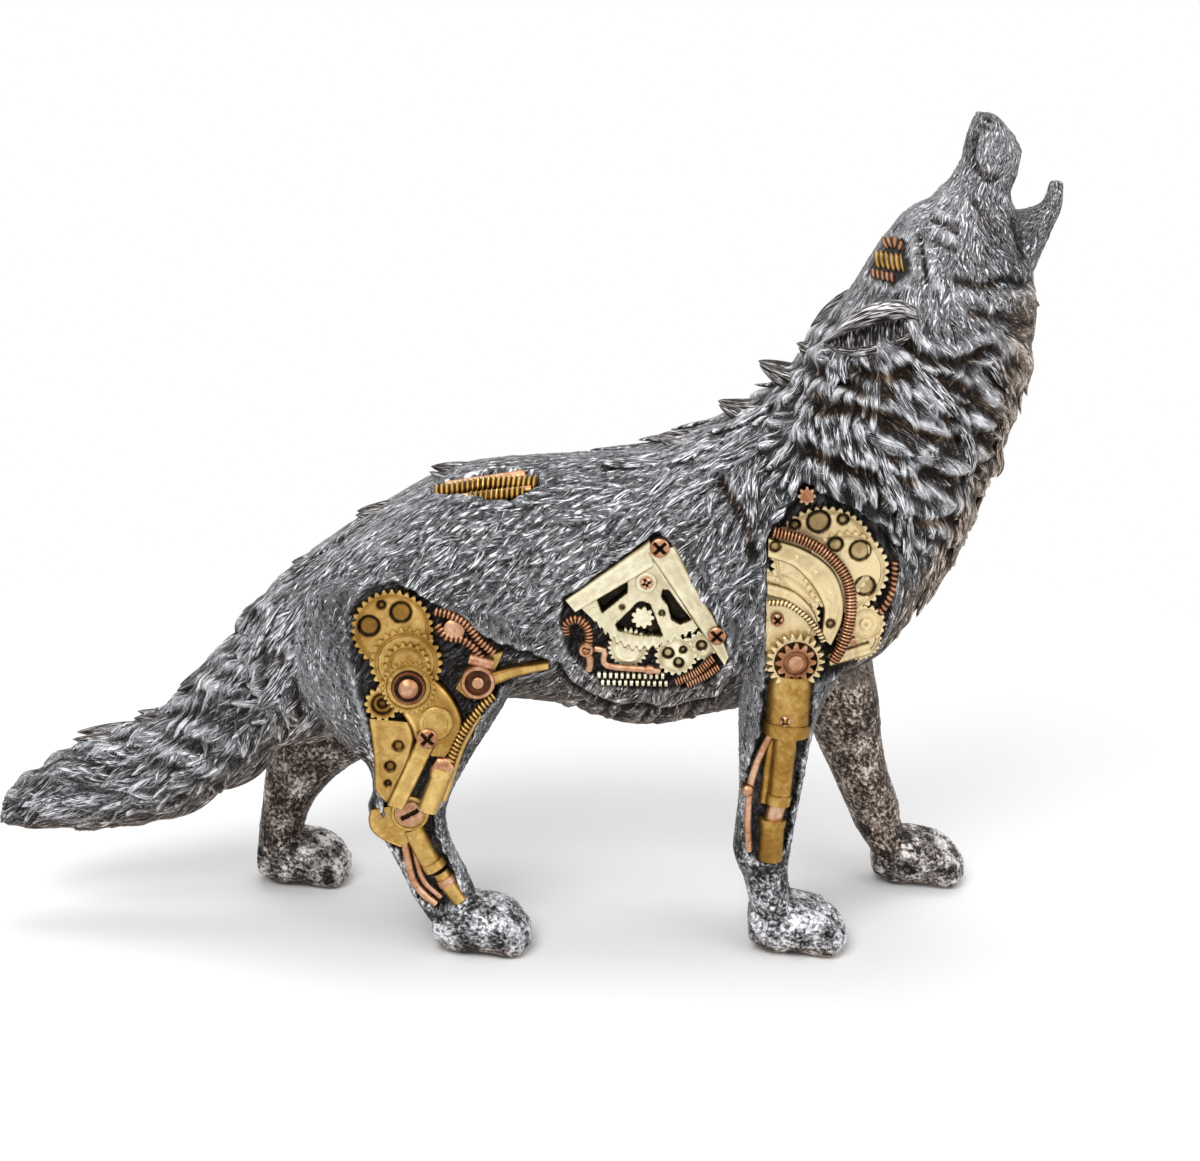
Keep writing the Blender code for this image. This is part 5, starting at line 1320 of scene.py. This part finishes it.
def swell_muscles(points):
    """Swells the shoulder and haunch out of the trunk as parts of ellipsoids."""
    for (cx, cz), (long, tall), reach in MUSCLES.values():
        gap = ((points[..., 0] - cx) / long) ** 2 + ((points[..., 2] - cz) / tall) ** 2
        bulge = MUSCLE_CENTRE + (reach - MUSCLE_CENTRE) * np.sqrt(np.clip(1 - gap, 0, 1))
        y = np.abs(points[..., 1])
        out = np.maximum(bulge - y, 0) * (gap < 1) * smooth(y, 10, 20)
        points[..., 1] += np.sign(points[..., 1]) * out


def inmost(x, z):
    """How far places on the near flank lie inside a window, negative outside all of them."""
    return np.max([inside(x, z, WINDOWS[name][0]) for name in WINDOWS if name != "back"], axis=0)


def pick_tufts(points, size):
    """Places for tufts: in the mane, away from the windows, and apart by 0.6 of the locks' length."""
    draw = np.random.default_rng(5)
    r, c = np.nonzero(draw.uniform(0, 1, points.shape[:2]) < 0.5)
    clear = inmost(points[r, c, 0], points[r, c, 2]) - 99 * (points[r, c, 1] > 0) < -9
    mane = (size[r, c] > MANE_FROM) & clear
    r, c = r[mane], c[mane]
    picks, taken = [], np.zeros((0, 3))
    for k in draw.permutation(len(r)):
        spot = points[r[k], c[k]]
        if not len(taken) or np.min(np.linalg.norm(taken - spot, axis=1)) > 0.6 * size[r[k], c[k]]:
            taken = np.vstack([taken, spot])
            picks.append((r[k], c[k]))
        if len(picks) == MOST_TUFTS:
            break
    return picks


def clear_of_windows(points):
    """Whether a tuft stays out of every window of the near flank."""
    flank = points[points[..., 1] < 0]
    return not len(flank) or inmost(flank[:, 0], flank[:, 2]).max() < -1


def trunk_pieces():
    """The trunk in three parts, from tail root to nose, and the tufts that stand up from it."""
    points = loft_grid(TRUNK, 0.0, cell=0.86, near_pace=1.36, dense_from=16, dense=1.9, cap=0.45)
    swell_muscles(points)
    size = spread(points, LOCK_SIZE)[..., 0]
    flow = trunk_flow(points, grid_normals(points))
    piece = furred(points, flow, size, 11)
    ridges(piece, RIDGES)
    piece["tone"][..., 2] = np.maximum(piece["tone"][..., 2], chest_tint(points))
    locks = [t for t in tufts(piece, flow, pick_tufts(points, size), 8) if clear_of_windows(t["points"])]
    open_windows(piece, WINDOWS, 0)
    piece.pop("normals")
    rows = len(points)
    cuts = [0, int(rows * 0.34), int(rows * 0.63), rows - 1]
    parts = [{key: value[a:b + 1] for key, value in piece.items()} for a, b in zip(cuts[:-1], cuts[1:])]
    return parts, locks


def stippled(piece, light, warm, coarse=0.95):
    """Dabs in place of strands, a lighter or darker tone, and a share of warm brown."""
    x, y, z = np.moveaxis(piece["points"], -1, 0)
    low = smooth(z + 5 * lump(piece["points"], 9, 7), *STIPPLE_FROM)
    dabs = np.stack([0.36 * x, 3.2 * z, 0.0108 * y], -1) * coarse
    piece["lock"] = np.where(low[..., None] > 0.5, dabs, piece["lock"])
    piece["soft"] = STIPPLE_SOFTNESS * low[..., None] * np.ones(3)
    piece["tone"][..., 0] = np.clip(piece["tone"][..., 0] + light * low, 0, 1)
    piece["tone"][..., 2] = np.maximum(piece["tone"][..., 2], warm * smooth(z, *BROWN_FROM))


def stand(piece):
    """Keeps a piece over the ground."""
    piece["points"][..., 2] = np.maximum(piece["points"][..., 2], SOLE_LEVEL + ABOVE_GROUND)


def limb(stations, middle_y, lean, size, seed, windows=(), warm=0.0, cell=CELL, cap=0.8, light=None):
    """A furred loft with its windows; with light given it is a leg, stippled below."""
    points = loft_grid(stations, middle_y, lean, cell, cap=cap)
    normals = grid_normals(points)
    piece = furred(points, along_flow(points, normals), np.full(points.shape[:2], float(size)), seed, 0.8)
    stand(piece)
    if light is not None:
        stippled(piece, light + 0.2 * lump(points, 11, seed), warm)
    open_windows(piece, windows, 2)
    return piece


def paw(heel, middle_y, seed, light, warm):
    """The paw: a loft from heel to toes, with four toes whose ridges are half circles across it."""
    stations = []
    for x, low, high, half in PAW_SHAPE:
        x = heel + PAW_SHIFT + PAW_STRETCH * x
        stations.append(((x, high + SOLE_LEVEL), (x, low + SOLE_LEVEL), half))
    points = loft_grid(stations, middle_y, cell=0.5, cap=0.14)
    normals = grid_normals(points)
    piece = furred(points, along_flow(points, normals), np.full(points.shape[:2], 4.0), seed, 0.6)
    p = piece["points"]
    gap = np.min([np.abs(p[..., 1] - middle_y - y) for y in TOES], axis=0)
    toe = smooth(p[..., 0] - heel, 15, 22)
    bulge = np.sqrt(np.clip(1 - (gap / TOE_HALF) ** 2, 0, 1)) - 0.45
    piece["points"] = p + normals * (TOE_RISE * bulge * toe)[..., None]
    # The toes are painted lighter and the grooves between them darker, the darker grooves a painted shade
    piece["tone"][..., 0] = np.clip(piece["tone"][..., 0] + 0.45 * bulge * toe, 0, 1)
    stippled(piece, light + 0.32 * lump(points, 8, seed), warm, 0.9)
    stand(piece)
    return piece


def ear(side):
    """A laid-back leaf between an upper and a lower rim.

    Its section runs from one rim to the other by half of one minus the cosine of the angle. The outer face
    has a thick upper rim, a bell-shaped hollow in the middle, and short hairs across it; the inner face is
    plain.
    """
    upper = np.array([(112.5, 195.4), (108.4, 197.6), (103, 197.4), (97.2, 195.2), (92, 191.2), (88, 186)])
    lower = np.array([(112.5, 187), (108.4, 184.6), (103, 182.8), (97, 181.8), (91.6, 182.4), (87.6, 184.4)])
    t = np.linspace(0, 1, 60)
    one, other = smooth_rows(upper, t * 5), smooth_rows(lower, t * 5)
    turns = round_angles(100)
    s = (1 - np.cos(turns)) / 2
    flat = one[:, None] * (1 - s)[None, :, None] + other[:, None] * s[None, :, None]
    fade = (1.001 - t**3)[:, None] ** 0.5
    outer = np.clip(np.sin(turns), 0, 1)
    high = 2.0 * np.sin(turns) * fade + 2.2 * bell(s - 0.16, 0.13) * outer**0.3 * fade
    hollow = bell(s - 0.6, 0.2) * (np.sin(turns) > 0) * fade * smooth(t, 0.02, 0.25)[:, None]
    wave = flat[..., 0] * 4 + 2 * np.sin(flat[..., 1] * 0.8)
    hair = np.sin(wave + 3 * lump(flat, 6, 4)) * hollow
    high = high - 3.4 * hollow + 0.35 * hair
    drop = 4 if side > 0 else 0
    level = (26.2 + 8 * t * (1 - t) - 1.5 * t - drop)[:, None] + high
    across, along = 12 * s, 22 * t[:, None]
    lock = np.where(hollow[..., None] > 0.3, stacked(along, across, 0.7), stacked(across, along, 0.0))
    rim = bell(s - 0.1, 0.12) * (turns < np.pi)
    # The rim is painted lighter and the hollow darker, a painted shade in the hollow; the hairs are lighter
    # on their crests
    tone = stacked(np.clip(0.42 + 0.2 * rim - 0.42 * hollow + 0.3 * hair, 0, 1), 0, 0.2)
    return {"points": stacked(flat[..., 0], side * level, flat[..., 1] - drop), "lock": lock, "tone": tone}


body, mane_locks = trunk_pieces()
for name, part in zip(("wolf_hind_body", "wolf_fore_body", "wolf_neck_and_head"), body):
    thing = put(name, [part], silver)
    if name == "wolf_fore_body":
        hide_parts("wolf_casting")
half = len(mane_locks) // 2
put("mane_locks_one", mane_locks[:half], silver)
put("mane_locks_two", mane_locks[half:], silver)
pairs = []
for k, (root, tip, width) in enumerate(EDGE_LOCKS):
    pairs.append(edge_lock(root, tip, width, -3.0 + k % 3, 7 * k))
    pairs.append(edge_lock(root, tip, width, 6.0 - k % 2, 7 * k + 1))
put("edge_locks", pairs, silver)
put("tail", [limb(TAIL, 0.0, 0.0, 20, 21, cell=0.68)], silver)
put("jaw_and_ears", [limb(JAW, 0.0, 0.0, 5, 31, cell=0.42, cap=0.3), ear(-1), ear(1)], silver)

for name, stations, side, size, seed, windows, cell, light, warm, (heel, paw_light, paw_warm) in LEGS:
    leg = limb(stations, side * LEG_OFFSET, side * LEG_SPLAY, size, seed, windows, warm, cell, light=light)
    foot = paw(heel, side * (LEG_OFFSET + LEG_SPLAY), seed + 1, paw_light, paw_warm)
    put(name, [leg, foot], silver)

for name, make in (("shoulder", shoulder_works), ("foreleg", foreleg_works), ("haunch", haunch_works),
                   ("hock", hock_works), ("ribs", ribs_works), ("head", head_works), ("back", back_works)):
    gold, copper = make()
    for piece in gold:
        piece["tone"][..., 2] = GOLD_WARMTH.get(name, 1.0)
        # Painted light and shade: the gold of the leg windows is darker, that of the shoulder and ribs
        # lighter
        piece["tone"][..., 0] *= GOLD_LIGHT_AND_SHADE.get(name, 1.0)
    put(f"{name}_gold_works", gold, gold_paint, 38)
    put(f"{name}_copper_works", copper, copper_paint, 38)


def seen(tree):
    """One for camera, glossy and transmitted rays, which all see the white backdrop."""
    path = tree.nodes.new("ShaderNodeLightPath")
    node = tree.nodes.new("ShaderNodeClamp")
    names = ("Is Camera Ray", "Is Glossy Ray", "Is Transmission Ray")
    feed(tree, sum_of(tree, *[(path.outputs[name], 1.0) for name in names]), node.inputs[0])
    return node.outputs[0]


def between(tree, source, limits):
    """The source mapped in a straight line from its first two limits to the last two."""
    node = tree.nodes.new("ShaderNodeMapRange")
    for k, value in enumerate((source, *limits)):
        feed(tree, value, node.inputs[k])
    return node.outputs[0]


def pale_floor():
    """A pale floor that fades into the white backdrop away from the sculpture."""
    mesh = bpy.data.meshes.new("floor")
    mesh.from_pydata([(-6, -6, 0), (6, -6, 0), (6, 6, 0), (-6, 6, 0)], [], [(0, 1, 2, 3)])
    floor = bpy.data.objects.new("floor", mesh)
    bpy.context.scene.collection.objects.link(floor)
    pale = bpy.data.materials.new("pale floor")
    pale.use_nodes = True
    tree = pale.node_tree
    shader = tree.nodes["Principled BSDF"]
    shader.inputs["Base Color"].default_value = (0.86, 0.86, 0.86, 1)
    shader.inputs["Roughness"].default_value = 1.0
    shader.inputs["Specular IOR Level"].default_value = 0.0
    place = tree.nodes.new("ShaderNodeTexCoord")
    length = tree.nodes.new("ShaderNodeVectorMath")
    length.operation = "LENGTH"
    feed(tree, place.outputs["Object"], length.inputs[0])
    away = between(tree, length.outputs["Value"], (0.12, 0.42, 0.0, 1.0))
    share = maths(tree, "MULTIPLY", away, seen(tree))
    white = values(tree, "ShaderNodeEmission", Strength=1.0)
    mix = tree.nodes.new("ShaderNodeMixShader")
    for k, source in enumerate((share, shader.outputs[0], white.outputs[0])):
        feed(tree, source, mix.inputs[k])
    feed(tree, mix.outputs[0], tree.nodes["Material Output"].inputs[0])
    mesh.materials.append(pale)


def backdrop():
    """A white world, dimmer as light than as seen."""
    world = bpy.data.worlds.new("studio")
    bpy.context.scene.world = world
    world.use_nodes = True
    tree = world.node_tree
    sky = tree.nodes["Background"]
    sky.inputs[0].default_value = (1, 1, 1, 1)
    feed(tree, between(tree, seen(tree), (0.0, 1.0, 0.55, 1.0)), sky.inputs[1])


def lamps():
    """Three soft lamps that look at the middle of the sculpture."""
    for name, spot, size, power in (
            ("key lamp", (-0.35, -0.9, 1.1), 0.7, 13.0), ("fill lamp", (0.9, -0.8, 0.6), 0.9, 5.0),
            ("top lamp", (0.0, 0.3, 1.3), 0.8, 7.0)):
        lamp = bpy.data.lights.new(name, "AREA")
        lamp.size, lamp.energy = size, power
        thing = bpy.data.objects.new(name, lamp)
        thing.location = spot
        thing.rotation_euler = (Vector(LAMPS_LOOK_AT) - Vector(spot)).to_track_quat("-Z", "Y").to_euler()
        bpy.context.scene.collection.objects.link(thing)


def photo_camera():
    """The camera at the photo's place, looking down a little."""
    eye = bpy.data.cameras.new("camera")
    eye.sensor_width, eye.lens = 36.0, CAMERA_LENS
    camera = bpy.data.objects.new("camera", eye)
    camera.location = CAMERA_PLACE
    camera.rotation_euler = (math.pi / 2 - CAMERA_TILT, 0, 0)
    bpy.context.scene.collection.objects.link(camera)
    bpy.context.scene.camera = camera
    bpy.context.scene.view_settings.view_transform = "Standard"


pale_floor()
backdrop()
lamps()
photo_camera()
